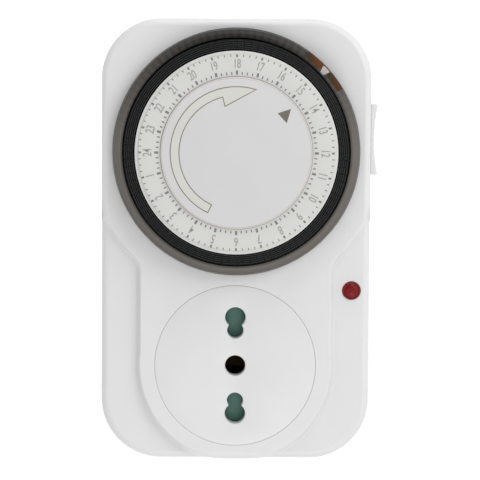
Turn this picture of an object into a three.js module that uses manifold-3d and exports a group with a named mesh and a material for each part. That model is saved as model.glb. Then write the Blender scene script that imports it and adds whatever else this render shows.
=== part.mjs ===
// A plug-in 24 hour segment timer: three plug pins at the back, a three hole socket
// with a safety shutter at the front, and above it a dial ring that a small motor turns
// once a day, with a ring of trippers that work the switch.
//
// Millimetres. The part's frame has X to the right, Z up and the front facing -Y. The
// origin is on the face of the plug pad, on the axis of the earth pin.
//
// Everything is drawn as seen from the front: x to the right, y up, and z is the depth,
// counted from the wall towards the viewer. The exported group turns that upright.
import * as THREE from 'three';
import { mergeVertices } from 'three/addons/utils/BufferGeometryUtils.js';
import Module from 'manifold-3d';

const wasm = await Module();
wasm.setup();

const { PI, cos, sin } = Math;
const DEGREE = PI / 180;

// Driving dimensions.
const GAP = 0.3; // clearance between neighbouring pieces
const HOUSING_HALF_WIDTH = 36;
const HOUSING_TOP = 92.9;
const HOUSING_BOTTOM = -25.5;
const HOUSING_CORNER = 16;
const WALL = 2;
const EDGE_FILLET = 2;
const PIN_SPACING = 13; // from the earth pin to the line and the neutral pin
const NARROW_PIN_SPACING = 9.5; // the same in the narrower of the two plug standards
const DIAL_HEIGHT = 57.5; // of the dial's axis above the earth pin
const ROUND = 48; // sides of a large circle

// Depths, from the wall towards the viewer.
const PLUG_LENGTH = 19;
const PAD_DEPTH = 3;
const PARTING = 18;
const FACE = 35; // the front face beside the socket
const PLATEAU = 37; // the raised front face around the dial and the socket
const FLOOR = PAD_DEPTH + WALL; // inside of the rear wall
const CEILING = FACE - WALL; // inside of the front wall

// The raised plateau: two circles and the bridge between them.
const PLATEAU_DIAL_RADIUS = 39.5;
const PLATEAU_SOCKET_RADIUS = 26.2;
const PLATEAU_HALF_BRIDGE = 26;

// The dial.
const BEZEL_OUTER = 33;
const BEZEL_SKIRT = 31.2;
const BEZEL_BORE = 30.2;
const BEZEL_TOP = 42.5;
const TRIPPER_OUTER = 29.9;
const TRIPPER_INNER = 27.2;
const TRIPPER_TOP = 44.4;
const TRIPPER_LENGTH = 10.4;
const TRIPPER_STEP = 0.8;
const TRIPPER_COUNT = 96;
const LOOSE_TRIPPERS = 8;
const OPEN_SECTOR_START = 285 * DEGREE;
const DRUM_OUTER = 26.8;
const DRUM_WALL = 1.6;
const DRUM_BACK = 30;
const DRUM_FRONT = 43;
const NUMBER_RING_BORE = 20.3;
const NUMBER_LABEL_OUTER = 25.9;
const NUMBER_RIM_TOP = 45.3;
const NUMBER_LABEL_TOP = 45.7;
const CENTRE_DISC_RADIUS = 20;
const CENTRE_DISC_BACK = 44;
const CENTRE_DISC_FRONT = 46.3;
const SPINDLE_RADIUS = 3;
const POINTER_ANGLE = 43 * DEGREE;
const BACKING_START = 31 * DEGREE;
const BACKING_END = 52 * DEGREE;

// The movement.
const PLATE_BACK = 20.6;
const PLATE_FRONT = 22.2;
const ARBOR_RADIUS = 0.9;
const ARBOR_FRONT = 29.6;
const DIAL_GEAR = { teeth: 60, module: 0.8, back: 25, front: 27.4 };
const GEAR_2_PINION = { teeth: 10, module: 0.8, back: 24.6, front: 27.8 };
const GEAR_2_WHEEL = { teeth: 30, module: 0.6, back: 27.8, front: 29.3 };
const GEAR_1_PINION = { teeth: 10, module: 0.6, back: 24.2, front: 29.3 };
const GEAR_1_WHEEL = { teeth: 30, module: 0.5, back: 22.8, front: 24.2 };
const MOTOR_PINION = { teeth: 10, module: 0.5, back: 22.6, front: 24.4 };
const MOTOR_RADIUS = 12;

// The socket.
const FACEPLATE_RADIUS = 21.5;
const FACEPLATE_BOSS_RADIUS = 19.2;
const FACEPLATE_LEDGE = 35;
const PIN_HOLE_RADIUS = 2.75;
const NARROW_PIN_HOLE_RADIUS = 2.18;
const CARRIER_HALF_WIDTH = 14;
const CARRIER_HALF_HEIGHT = 19.4;
const CARRIER_BACK = 7.8;
const CARRIER_FRONT = 32.7;
const SHUTTER_BACK = 30.8;
const SHUTTER_FRONT = 32.5;
const SHUTTER_TRAVEL = 6.5;
const POCKET_FLOOR = 15;

// The switch.
const SIDE_SWITCH_MIDDLE = 60.75;
const SIDE_SWITCH_HALF_LENGTH = 9.45;
const SIDE_SWITCH_TRAVEL = 3;
const LEVER_PIVOT = { y: 28, z: 25.4 };

// Where the fasteners stand.
const CASE_SCREWS = [[-29, 82.5], [29, 82.5], [-29, -14.8], [29, -14.8]];
const MOVEMENT_SCREWS = [[-23.5, 86.8], [23.5, 86.8], [-30.5, 27], [30.5, 27]];
const INDICATOR = { x: 31.2, y: 20.2 };

const COLOURS = {
  housing: { color: 0xdfe0df, roughness: 0.4, metalness: 0 },
  dial: { color: 0xd6d5d1, roughness: 0.45, metalness: 0 },
  tripper: { color: 0x1d1d1c, roughness: 0.35, metalness: 0 },
  smoked: { color: 0x63625e, roughness: 0.15, metalness: 0 },
  marker: { color: 0xb4451f, roughness: 0.5, metalness: 0 },
  shutter: { color: 0x3e6258, roughness: 0.45, metalness: 0 },
  lens: { color: 0x7d1e26, roughness: 0.1, metalness: 0 },
  carrier: { color: 0x2b2a29, roughness: 0.6, metalness: 0 },
  gear: { color: 0xe7e2d2, roughness: 0.5, metalness: 0 },
  brass: { color: 0xb59a52, roughness: 0.3, metalness: 1 },
  nickel: { color: 0xc9c8c2, roughness: 0.25, metalness: 1 },
  steel: { color: 0xa9abad, roughness: 0.35, metalness: 1 },
  glass: { color: 0xf0a070, roughness: 0.1, metalness: 0 },
  ceramic: { color: 0xc7b48a, roughness: 0.6, metalness: 0 },
  wire: { color: 0x6b3a22, roughness: 0.5, metalness: 0 },
};

// ---------------------------------------------------------------------------------
// Solids

// A closed three.js geometry as a solid that can be joined and cut. Faces that have
// shrunk to a line, as at the pole of a turned shape, are left out.
function solid(geometry) {
  const bare = geometry.clone();
  bare.deleteAttribute('normal');
  bare.deleteAttribute('uv');
  const merged = mergeVertices(bare, 1e-4);
  const corners = merged.index.array;
  const kept = [];
  for (let i = 0; i < corners.length; i += 3) {
    const [a, b, c] = corners.slice(i, i + 3);
    if (a !== b && b !== c && c !== a) kept.push(a, b, c);
  }
  const vertProperties = merged.attributes.position.array;
  const triVerts = new Uint32Array(kept);
  const made = new wasm.Manifold(new wasm.Mesh({ numProp: 3, vertProperties, triVerts }));
  if (made.volume() > 0) return made;
  for (let i = 0; i < triVerts.length; i += 3) {
    [triVerts[i + 1], triVerts[i + 2]] = [triVerts[i + 2], triVerts[i + 1]];
  }
  return new wasm.Manifold(new wasm.Mesh({ numProp: 3, vertProperties, triVerts }));
}

function geometryOf(body) {
  const mesh = body.getMesh();
  const geometry = new THREE.BufferGeometry();
  geometry.setAttribute('position', new THREE.BufferAttribute(mesh.vertProperties, 3));
  geometry.setIndex(new THREE.BufferAttribute(mesh.triVerts, 1));
  geometry.computeVertexNormals();
  return geometry;
}

const join = (...bodies) => bodies.reduce((sum, body) => sum.add(body));
const cut = (body, ...tools) => tools.reduce((left, tool) => left.subtract(tool), body);

// A flat outline between two depths.
function slab(shape, back, front, curveSegments = 12) {
  const options = { depth: front - back, bevelEnabled: false, curveSegments };
  const geometry = new THREE.ExtrudeGeometry(shape, options);
  geometry.translate(0, 0, back);
  return solid(geometry);
}

// The same with both faces' edges rounded.
function roundedSlab(shape, back, front, fillet) {
  const geometry = new THREE.ExtrudeGeometry(shape, {
    depth: front - back - 2 * fillet,
    bevelThickness: fillet,
    bevelSize: fillet,
    bevelOffset: -fillet,
    bevelSegments: 2,
    curveSegments: 6,
  });
  geometry.translate(0, 0, back + fillet);
  return solid(geometry);
}

function block(left, right, low, high, back, front) {
  const geometry = new THREE.BoxGeometry(right - left, high - low, front - back);
  geometry.translate((left + right) / 2, (low + high) / 2, (back + front) / 2);
  return solid(geometry);
}

// A round rod along the depth.
function rod(x, y, radius, back, front, segments = 10) {
  const geometry = new THREE.CylinderGeometry(radius, radius, front - back, segments);
  geometry.rotateX(PI / 2);
  geometry.translate(x, y, (back + front) / 2);
  return solid(geometry);
}

// A round rod along x.
function crossRod(left, right, y, z, radius, segments = 10) {
  const geometry = new THREE.CylinderGeometry(radius, radius, right - left, segments);
  geometry.rotateZ(PI / 2);
  geometry.translate((left + right) / 2, y, z);
  return solid(geometry);
}

// A profile of [radius, depth] corners turned about the depth axis at x, y.
function turned(profile, segments, x = 0, y = 0) {
  const points = profile.map(([radius, depth]) => new THREE.Vector2(radius, depth));
  const geometry = new THREE.LatheGeometry(points, segments);
  geometry.rotateX(PI / 2);
  geometry.translate(x, y, 0);
  return solid(geometry);
}

function roundedRectangle(left, right, low, high, radius) {
  const shape = new THREE.Shape();
  shape.absarc(right - radius, low + radius, radius, -PI / 2, 0);
  shape.absarc(right - radius, high - radius, radius, 0, PI / 2);
  shape.absarc(left + radius, high - radius, radius, PI / 2, PI);
  shape.absarc(left + radius, low + radius, radius, PI, 1.5 * PI);
  shape.closePath();
  return shape;
}

// A piece of a ring between two angles, about the dial's axis.
function sector(inner, outer, start, end, back, front, curveSegments) {
  const shape = new THREE.Shape();
  shape.absarc(0, DIAL_HEIGHT, outer, start, end, false);
  shape.absarc(0, DIAL_HEIGHT, inner, end, start, true);
  shape.closePath();
  return slab(shape, back, front, curveSegments);
}

// A spur gear with straight flanks, thin enough to run with play in a mating gear.
function gear({ teeth, module, back, front }, x, y, phase = 0) {
  const pitchRadius = (teeth * module) / 2;
  const tip = pitchRadius + 0.85 * module;
  const root = pitchRadius - 1.25 * module;
  const pitch = (2 * PI) / teeth;
  const corners = [[root, -0.27], [tip, -0.09], [tip, 0.09], [root, 0.27]];
  const shape = new THREE.Shape();
  for (let tooth = 0; tooth < teeth; tooth += 1) {
    corners.forEach(([radius, offset], index) => {
      const angle = phase + (tooth + offset) * pitch;
      const place = [x + radius * cos(angle), y + radius * sin(angle)];
      if (tooth + index === 0) shape.moveTo(...place);
      else shape.lineTo(...place);
    });
  }
  shape.closePath();
  return slab(shape, back, front);
}

// ---------------------------------------------------------------------------------
// The nodes

const timer = new THREE.Group();
timer.name = 'programmable_timer';
timer.rotation.x = PI / 2;

function node(name, body, colour) {
  const mesh = new THREE.Mesh(geometryOf(body), new THREE.MeshStandardMaterial(COLOURS[colour]));
  mesh.name = name;
  timer.add(mesh);
}

// ---------------------------------------------------------------------------------
// Housing

const housingOutline = (inset) =>
  roundedRectangle(
    -HOUSING_HALF_WIDTH + inset,
    HOUSING_HALF_WIDTH - inset,
    HOUSING_BOTTOM + inset,
    HOUSING_TOP - inset,
    HOUSING_CORNER - inset,
  );

const FAR = 60; // beyond the housing's edges
const BEHIND = 8; // a trimmed slab starts this far past the parting
const frontHalf = block(-FAR, FAR, HOUSING_BOTTOM - 5, HOUSING_TOP + 5, PARTING + GAP, FAR);
const rearHalf = block(-FAR, FAR, HOUSING_BOTTOM - 5, HOUSING_TOP + 5, -FAR, PARTING);

function plateauPrism() {
  const dialPad = rod(0, DIAL_HEIGHT, PLATEAU_DIAL_RADIUS, CEILING, FAR, ROUND);
  const socketPad = rod(0, 0, PLATEAU_SOCKET_RADIUS, CEILING, FAR, ROUND);
  const bridge = block(-PLATEAU_HALF_BRIDGE, PLATEAU_HALF_BRIDGE, 0, DIAL_HEIGHT, CEILING, FAR);
  const topPad = block(-FAR, FAR, DIAL_HEIGHT, HOUSING_TOP + 5, CEILING, FAR);
  return join(dialPad, socketPad, bridge, topPad);
}

const CASE_POST_RADIUS = 3;
const MOVEMENT_POST_RADIUS = 2.4;
const CASE_SHANK_RADIUS = 1.3;
const CASE_HEAD_RADIUS = 2.8;
const CASE_SCREW_TIP = 27;
const MOVEMENT_SHANK_RADIUS = 0.9;
const MOVEMENT_HEAD_RADIUS = 1.8;
const MOVEMENT_SCREW_TIP = 29;
const DIAL_OPENING = BEZEL_SKIRT + GAP;
const SIDE_STEM = { low: 58, high: 63.5, back: 24.4, front: 27.9 };

function frontCover() {
  const lower = roundedSlab(housingOutline(0), PARTING - BEHIND, FACE, EDGE_FILLET);
  const upper = roundedSlab(housingOutline(0), PARTING - BEHIND, PLATEAU, EDGE_FILLET);
  const raised = upper.intersect(plateauPrism());
  const outside = join(lower, raised).intersect(frontHalf);
  const inside = slab(housingOutline(WALL), PARTING - BEHIND, CEILING, 6);
  let cover = cut(outside, inside);
  for (const [x, y] of CASE_SCREWS) {
    cover = cover.add(rod(x, y, CASE_POST_RADIUS, PARTING + GAP, CEILING + 1));
    cover = cut(cover, rod(x, y, CASE_SHANK_RADIUS + GAP, PARTING, CASE_SCREW_TIP + GAP));
  }
  for (const [x, y] of MOVEMENT_SCREWS) {
    cover = cover.add(rod(x, y, MOVEMENT_POST_RADIUS, PLATE_FRONT + GAP, CEILING + 1));
    const pilot = MOVEMENT_SHANK_RADIUS + GAP;
    cover = cut(cover, rod(x, y, pilot, PLATE_FRONT, MOVEMENT_SCREW_TIP + GAP));
  }
  return cut(
    cover,
    rod(0, DIAL_HEIGHT, DIAL_OPENING, CEILING - 1, FAR, ROUND),
    rod(0, 0, FACEPLATE_RADIUS + GAP, FACEPLATE_LEDGE - GAP, FAR, ROUND),
    rod(0, 0, FACEPLATE_BOSS_RADIUS + GAP, CEILING - 1, FAR, ROUND),
    rod(INDICATOR.x, INDICATOR.y, LENS_RADIUS + GAP, CEILING - 1, FAR, 16),
    block(
      HOUSING_HALF_WIDTH - WALL - 1,
      HOUSING_HALF_WIDTH + 1,
      SIDE_STEM.low - SIDE_SWITCH_TRAVEL - GAP,
      SIDE_STEM.high + GAP,
      SIDE_STEM.back - GAP,
      SIDE_STEM.front + GAP,
    ),
  );
}

const PAD_RADIUS = 20;
const REAR_POST_RADIUS = 4;
const COUNTERBORE_DEPTH = 6;
const PIN_RADIUS = 2.5;
const PIN_ROWS = [PIN_SPACING, 0, -PIN_SPACING];

function rearCover() {
  const outside = roundedSlab(housingOutline(0), PAD_DEPTH, PARTING + BEHIND, EDGE_FILLET);
  const inside = slab(housingOutline(WALL), FLOOR, PARTING + BEHIND + 1, 6);
  let cover = cut(outside.intersect(rearHalf), inside);
  cover = cover.add(rod(0, 0, PAD_RADIUS, 0, PAD_DEPTH + 1, ROUND));
  for (const [x, y] of CASE_SCREWS) {
    cover = cover.add(rod(x, y, REAR_POST_RADIUS, FLOOR - 1, PARTING, 16));
    cover = cut(
      cover,
      rod(x, y, CASE_HEAD_RADIUS + GAP, PAD_DEPTH - 1, COUNTERBORE_DEPTH, 16),
      rod(x, y, CASE_SHANK_RADIUS + GAP, PAD_DEPTH, PARTING + 1),
    );
  }
  for (const y of PIN_ROWS) cover = cut(cover, rod(0, y, PIN_RADIUS + GAP, -1, FLOOR + 1, 16));
  return cover;
}

function screw(x, y, { head, headBack, headFront, shank, tip }) {
  const profile = [
    [0, headBack], [head, headBack], [head, headFront],
    [shank, headFront], [shank, tip - 1], [shank / 3, tip], [0, tip],
  ];
  return turned(profile, 10, x, y);
}

// ---------------------------------------------------------------------------------
// Plug

const SLEEVE_LENGTH = 10;
const SLEEVE_WALL = 0.3;
const SLEEVE_FRONT = 4.8;
const PIN_TAIL_RADIUS = 1.9;
const PIN_FLANGE_RADIUS = 4;
const PIN_FLANGE_FRONT = 7.5;
const LINE_TAIL_END = 9.5; // the line's tail stops short, because the switch comes between

function plugPin(y, sleeved, tailEnd) {
  const neck = sleeved ? -SLEEVE_LENGTH - GAP : FLOOR;
  const waist = sleeved ? PIN_TAIL_RADIUS : PIN_RADIUS;
  const profile = [
    [0, -PLUG_LENGTH], [1.5, -PLUG_LENGTH], [2.2, -PLUG_LENGTH + 0.5],
    [PIN_RADIUS, -PLUG_LENGTH + 1.4], [PIN_RADIUS, neck], [waist, neck],
    [waist, FLOOR + GAP], [PIN_FLANGE_RADIUS, FLOOR + GAP],
    [PIN_FLANGE_RADIUS, PIN_FLANGE_FRONT], [PIN_TAIL_RADIUS, PIN_FLANGE_FRONT],
    [PIN_TAIL_RADIUS, tailEnd], [0, tailEnd],
  ];
  return turned(profile, 16, 0, y);
}

function pinSleeve(y) {
  const inner = PIN_TAIL_RADIUS + GAP;
  const corners = [
    [inner, -SLEEVE_LENGTH], [inner + SLEEVE_WALL, -SLEEVE_LENGTH],
    [inner + SLEEVE_WALL, SLEEVE_FRONT], [inner, SLEEVE_FRONT],
  ];
  return turned([...corners, corners[0]], 16, 0, y);
}

// ---------------------------------------------------------------------------------
// Socket

// The two hole sizes of one contact run into each other, like a keyhole. side is 1 for
// the upper contact and -1 for the lower one.
function keyhole(x, side, extra, back, front) {
  return join(
    rod(x, side * PIN_SPACING, PIN_HOLE_RADIUS + extra, back, front, 16),
    rod(x, side * NARROW_PIN_SPACING, NARROW_PIN_HOLE_RADIUS + extra, back, front, 16),
  );
}

function socketFaceplate() {
  const plate = rod(0, 0, FACEPLATE_RADIUS, FACEPLATE_LEDGE, PLATEAU, ROUND);
  const boss = rod(0, 0, FACEPLATE_BOSS_RADIUS, CEILING + GAP, FACEPLATE_LEDGE + 1, ROUND);
  return cut(
    join(plate, boss),
    keyhole(0, 1, 0, CEILING, PLATEAU + 1),
    keyhole(0, -1, 0, CEILING, PLATEAU + 1),
    rod(0, 0, PIN_HOLE_RADIUS, CEILING, PLATEAU + 1, 16),
  );
}

const CONTACT = {
  halfWidth: 3.5, low: 7.5, high: 16.5, earthHalfHeight: 3, thickness: 0.8, front: 28,
};
const POCKET_MARGIN = 0.8;
const SHUTTER = { left: -5, right: 11, halfHeight: 17.3, window: 0.4 };
const SPRING_SEAT = -13;

function contactCarrier() {
  const body = block(
    -CARRIER_HALF_WIDTH, CARRIER_HALF_WIDTH,
    -CARRIER_HALF_HEIGHT, CARRIER_HALF_HEIGHT,
    CARRIER_BACK, CARRIER_FRONT,
  );
  const recess = block(
    SPRING_SEAT, SHUTTER.right + 2 * GAP,
    -SHUTTER.halfHeight - GAP, SHUTTER.halfHeight + GAP,
    SHUTTER_BACK - GAP, CARRIER_FRONT + 1,
  );
  const halfPocket = CONTACT.halfWidth + POCKET_MARGIN;
  const pocket = (low, high) =>
    block(-halfPocket, halfPocket, low, high, POCKET_FLOOR, SHUTTER_BACK);
  const upper = pocket(CONTACT.low - POCKET_MARGIN, CONTACT.high + POCKET_MARGIN);
  const lower = pocket(-CONTACT.high - POCKET_MARGIN, -CONTACT.low + POCKET_MARGIN);
  const middle = pocket(-CONTACT.earthHalfHeight - GAP, CONTACT.earthHalfHeight + GAP);
  const tails = PIN_ROWS.map((y) =>
    rod(0, y, PIN_TAIL_RADIUS + GAP, CARRIER_BACK - 1, POCKET_FLOOR + 1));
  return cut(body, recess, upper, lower, middle, ...tails);
}

// A brass strip bent into a U that grips the plug pin between its two leaves.
function contact(low, high) {
  const { halfWidth, thickness, front } = CONTACT;
  const back = POCKET_FLOOR + GAP;
  const outside = block(-halfWidth, halfWidth, low, high, back, front);
  const space = halfWidth - thickness;
  return cut(outside, block(-space, space, low - 1, high + 1, back + thickness, front + 1));
}

function safetyShutter() {
  const { left, right, halfHeight, window } = SHUTTER;
  const plate = block(left, right, -halfHeight, halfHeight, SHUTTER_BACK, SHUTTER_FRONT);
  const [back, front] = [SHUTTER_BACK - 1, SHUTTER_FRONT + 1];
  const earth = PIN_HOLE_RADIUS + window;
  return cut(
    plate,
    keyhole(SHUTTER_TRAVEL, 1, window, back, front),
    keyhole(SHUTTER_TRAVEL, -1, window, back, front),
    rod(0, 0, earth, back, front, 16),
    rod(SHUTTER_TRAVEL, 0, earth, back, front, 16),
    block(0, SHUTTER_TRAVEL, -earth, earth, back, front),
  );
}

function shutterSpring() {
  const middle = (SHUTTER_BACK + SHUTTER_FRONT) / 2;
  return crossRod(SPRING_SEAT + GAP, SHUTTER.left - GAP, 0, middle, 0.8, 10);
}

// ---------------------------------------------------------------------------------
// Dial

// A ring with a skirt that stands in the housing's round opening. The pointer and its
// backing lie in grooves in its front.
const BEZEL_SHOULDER = 39.4;
const BEZEL_LIP = 31.9;
const BACKING = { inner: 30.9, outer: 31.9, back: 39.9, front: 40.9 };
const POINTER = { back: 41.2, front: BEZEL_TOP, halfAngle: 2.5 * DEGREE };

function pointerShape(grow) {
  const tip = BEZEL_BORE - grow;
  const base = BEZEL_LIP + grow;
  const half = POINTER.halfAngle + grow / base;
  const shape = new THREE.Shape();
  const at = (radius, angle) => [radius * cos(angle), DIAL_HEIGHT + radius * sin(angle)];
  shape.moveTo(...at(tip, POINTER_ANGLE - half / 4));
  shape.lineTo(...at(base, POINTER_ANGLE - half));
  shape.lineTo(...at(base, POINTER_ANGLE + half));
  shape.lineTo(...at(tip, POINTER_ANGLE + half / 4));
  shape.closePath();
  return shape;
}

function bezelRing() {
  const corners = [
    [BEZEL_BORE, CEILING], [BEZEL_SKIRT, CEILING], [BEZEL_SKIRT, PLATEAU + GAP],
    [BEZEL_OUTER, PLATEAU + GAP], [BEZEL_OUTER, BEZEL_SHOULDER],
    [BEZEL_LIP, BEZEL_TOP], [BEZEL_BORE, BEZEL_TOP],
  ];
  const collar = turned([...corners, corners[0]], ROUND, 0, DIAL_HEIGHT);
  const margin = GAP / BACKING.inner;
  const groove = sector(
    BACKING.inner - GAP, BACKING.outer + GAP,
    BACKING_START - margin, BACKING_END + margin,
    BACKING.back - GAP, BEZEL_TOP + 1, 8,
  );
  const notch = slab(pointerShape(GAP + 0.2), POINTER.back - GAP, BEZEL_TOP + 1);
  return cut(collar, groove, notch);
}

function pointerBacking() {
  const { inner, outer, back, front } = BACKING;
  return sector(inner, outer, BACKING_START, BACKING_END, back, front, 8);
}

function numberRing() {
  const corners = [
    [NUMBER_RING_BORE, DRUM_FRONT + GAP], [DRUM_OUTER, DRUM_FRONT + GAP],
    [DRUM_OUTER, NUMBER_RIM_TOP], [NUMBER_LABEL_OUTER, NUMBER_RIM_TOP],
    [NUMBER_LABEL_OUTER, NUMBER_LABEL_TOP], [NUMBER_RING_BORE, NUMBER_LABEL_TOP],
  ];
  return turned([...corners, corners[0]], ROUND, 0, DIAL_HEIGHT);
}

const HUB_BORE = SPINDLE_RADIUS + GAP;
const HUB_OUTER = 7;
const WEB = 2.2;

// Gear, hub, web and drum in one moulding.
function dialWheel() {
  const drumInner = DRUM_OUTER - DRUM_WALL;
  const corners = [
    [HUB_BORE, DIAL_GEAR.back], [HUB_OUTER, DIAL_GEAR.back],
    [HUB_OUTER, DRUM_FRONT - WEB], [drumInner, DRUM_FRONT - WEB],
    [drumInner, DRUM_BACK], [DRUM_OUTER, DRUM_BACK],
    [DRUM_OUTER, DRUM_FRONT], [HUB_BORE, DRUM_FRONT],
  ];
  const drum = turned([...corners, corners[0]], ROUND, 0, DIAL_HEIGHT);
  const bore = rod(0, DIAL_HEIGHT, HUB_BORE + 1, DIAL_GEAR.back - 1, DRUM_FRONT, 24);
  return join(drum, cut(gear(DIAL_GEAR, 0, DIAL_HEIGHT), bore));
}

const TRIPPER_PITCH = (2 * PI) / TRIPPER_COUNT;
const TRIPPER_MARGIN = GAP / (2 * TRIPPER_INNER);
const TRIPPER_MIDDLE = 28.4; // radius of the step in a tripper's front

function tripper(start, end, curveSegments) {
  const back = TRIPPER_TOP - TRIPPER_LENGTH;
  const low = sector(
    TRIPPER_INNER, TRIPPER_OUTER, start, end, back, TRIPPER_TOP - TRIPPER_STEP, curveSegments,
  );
  const high = sector(
    TRIPPER_MIDDLE, TRIPPER_OUTER, start, end, back, TRIPPER_TOP, curveSegments,
  );
  return join(low, high);
}

function looseTripper(index) {
  const start = OPEN_SECTOR_START + index * TRIPPER_PITCH;
  return tripper(start + TRIPPER_MARGIN, start + TRIPPER_PITCH - TRIPPER_MARGIN, 1);
}

function joinedTrippers() {
  const start = OPEN_SECTOR_START + LOOSE_TRIPPERS * TRIPPER_PITCH + TRIPPER_MARGIN;
  const end = OPEN_SECTOR_START + 2 * PI - TRIPPER_MARGIN;
  return tripper(start, end, 30);
}

function centreDisc() {
  const profile = [
    [0, CENTRE_DISC_BACK], [CENTRE_DISC_RADIUS, CENTRE_DISC_BACK],
    [CENTRE_DISC_RADIUS, CENTRE_DISC_FRONT - 0.4], [CENTRE_DISC_RADIUS - 0.4, CENTRE_DISC_FRONT],
    [0, CENTRE_DISC_FRONT],
  ];
  const disc = turned(profile, ROUND, 0, DIAL_HEIGHT);
  return cut(disc, rod(0, DIAL_HEIGHT, HUB_BORE, CENTRE_DISC_BACK - 1, SPINDLE_FRONT + GAP, 16));
}

const SPINDLE_FRONT = 45;
const SPINDLE_FOOT_RADIUS = 2;

function dialSpindle() {
  const profile = [
    [0, PLATE_BACK], [SPINDLE_FOOT_RADIUS, PLATE_BACK],
    [SPINDLE_FOOT_RADIUS, PLATE_FRONT + GAP], [SPINDLE_RADIUS, PLATE_FRONT + GAP],
    [SPINDLE_RADIUS, SPINDLE_FRONT], [0, SPINDLE_FRONT],
  ];
  return turned(profile, 16, 0, DIAL_HEIGHT);
}

// ---------------------------------------------------------------------------------
// Movement: motor pinion, gear 1, gear 2 and the dial's own gear

const centreDistance = (a, b) => ((a.teeth + b.teeth) * a.module) / 2;

function besides(place, distance, angle) {
  return { x: place.x + distance * cos(angle), y: place.y + distance * sin(angle) };
}

const TOWARDS_GEAR_2 = -125 * DEGREE;
const TOWARDS_GEAR_1 = -28 * DEGREE;
const TOWARDS_MOTOR = 60 * DEGREE;
const dialPlace = { x: 0, y: DIAL_HEIGHT };
const gear2Place = besides(dialPlace, centreDistance(DIAL_GEAR, GEAR_2_PINION), TOWARDS_GEAR_2);
const gear1Place = besides(gear2Place, centreDistance(GEAR_2_WHEEL, GEAR_1_PINION), TOWARDS_GEAR_1);
const motorPlace = besides(gear1Place, centreDistance(GEAR_1_WHEEL, MOTOR_PINION), TOWARDS_MOTOR);

// The phase that puts a tooth space of the driven gear opposite a tooth of its driver:
// tooth 0 of the driver stands at its own phase.
function meshPhase(driver, driverPhase, towards, driven) {
  const driverPitch = (2 * PI) / driver.teeth;
  const drivenPitch = (2 * PI) / driven.teeth;
  const past = (towards - driverPhase) / driverPitch;
  return towards + PI + (past + 0.5) * drivenPitch;
}

const gear2Phase = meshPhase(DIAL_GEAR, 0, TOWARDS_GEAR_2, GEAR_2_PINION);
const gear1Phase = meshPhase(GEAR_2_WHEEL, gear2Phase, TOWARDS_GEAR_1, GEAR_1_PINION);
const motorPhase = meshPhase(GEAR_1_WHEEL, gear1Phase, TOWARDS_MOTOR, MOTOR_PINION);
const ARBOR_BORE = ARBOR_RADIUS + GAP;

function compoundGear(place, phase, pinion, wheel) {
  const both = join(
    gear(pinion, place.x, place.y, phase),
    gear(wheel, place.x, place.y, phase),
  );
  return cut(both, rod(place.x, place.y, ARBOR_BORE, PLATE_FRONT, ARBOR_FRONT + 1));
}

function gear2() {
  const collar = rod(gear2Place.x, gear2Place.y, 2.2, PLATE_FRONT + GAP, GEAR_2_PINION.back + 1);
  const bore = rod(gear2Place.x, gear2Place.y, ARBOR_BORE, PLATE_FRONT, ARBOR_FRONT);
  return join(compoundGear(gear2Place, gear2Phase, GEAR_2_PINION, GEAR_2_WHEEL), cut(collar, bore));
}

const MOTOR_BACK = 7.5;
const MOTOR_FRONT = PLATE_BACK - GAP;
const MOTOR_SHAFT_RADIUS = 1;

function motorPinion() {
  const { x, y } = motorPlace;
  const shaft = rod(x, y, MOTOR_SHAFT_RADIUS, MOTOR_FRONT + GAP, MOTOR_PINION.back + 1);
  return join(gear(MOTOR_PINION, x, y, motorPhase), shaft);
}

function motorCan() {
  const { x, y } = motorPlace;
  const rim = 1.2;
  const profile = [
    [0, MOTOR_BACK], [MOTOR_RADIUS - 2, MOTOR_BACK], [MOTOR_RADIUS - 1, MOTOR_BACK + 1],
    [MOTOR_RADIUS - 1, MOTOR_FRONT - rim], [MOTOR_RADIUS, MOTOR_FRONT - rim],
    [MOTOR_RADIUS, MOTOR_FRONT], [0, MOTOR_FRONT],
  ];
  return turned(profile, 24, x, y);
}

const PLATE_HALF_WIDTH = 22;
const LEVER = { left: 17.6, right: 20.2 };
const CHEEK = { thickness: 1.4, low: 26.2, high: 29.8, front: 27.2 };
const BLADE_STAND = { left: 24.6, right: 27.8, low: 23.4, high: 26.6, front: 27.3 };
const FIXED_STAND = { left: 9.5, right: 12.2, front: 30.3 };

function movementPlate() {
  const layer = (left, right, low, high, front = PLATE_FRONT) =>
    block(left, right, low, high, PLATE_BACK, front);
  const { thickness, low, high, front } = CHEEK;
  const leftCheek = LEVER.left - 2 * GAP;
  const rightCheek = LEVER.right + 2 * GAP;
  const plate = join(
    layer(-PLATE_HALF_WIDTH, PLATE_HALF_WIDTH, 24, 88.8),
    layer(-33, 33, 24.4, 33),
    layer(-26, 26, 85, 88.8),
    layer(leftCheek - thickness, leftCheek, low, high, front),
    layer(rightCheek, rightCheek + thickness, low, high, front),
    layer(BLADE_STAND.left, BLADE_STAND.right, BLADE_STAND.low, BLADE_STAND.high, BLADE_STAND.front),
    layer(FIXED_STAND.left, FIXED_STAND.right, BLADE_STAND.low, BLADE_STAND.high, FIXED_STAND.front),
  );
  const through = (x, y, radius) => rod(x, y, radius + GAP, PLATE_BACK - 1, PLATE_FRONT + 1);
  const pivotBore = ARBOR_RADIUS + GAP;
  return cut(
    plate,
    through(0, DIAL_HEIGHT, SPINDLE_FOOT_RADIUS),
    through(gear1Place.x, gear1Place.y, ARBOR_RADIUS),
    through(gear2Place.x, gear2Place.y, ARBOR_RADIUS),
    through(motorPlace.x, motorPlace.y, MOTOR_SHAFT_RADIUS),
    crossRod(leftCheek - 3, rightCheek + 3, LEVER_PIVOT.y, LEVER_PIVOT.z, pivotBore),
    ...MOVEMENT_SCREWS.map(([x, y]) => through(x, y, MOVEMENT_SHANK_RADIUS)),
  );
}

// ---------------------------------------------------------------------------------
// Switch

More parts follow.
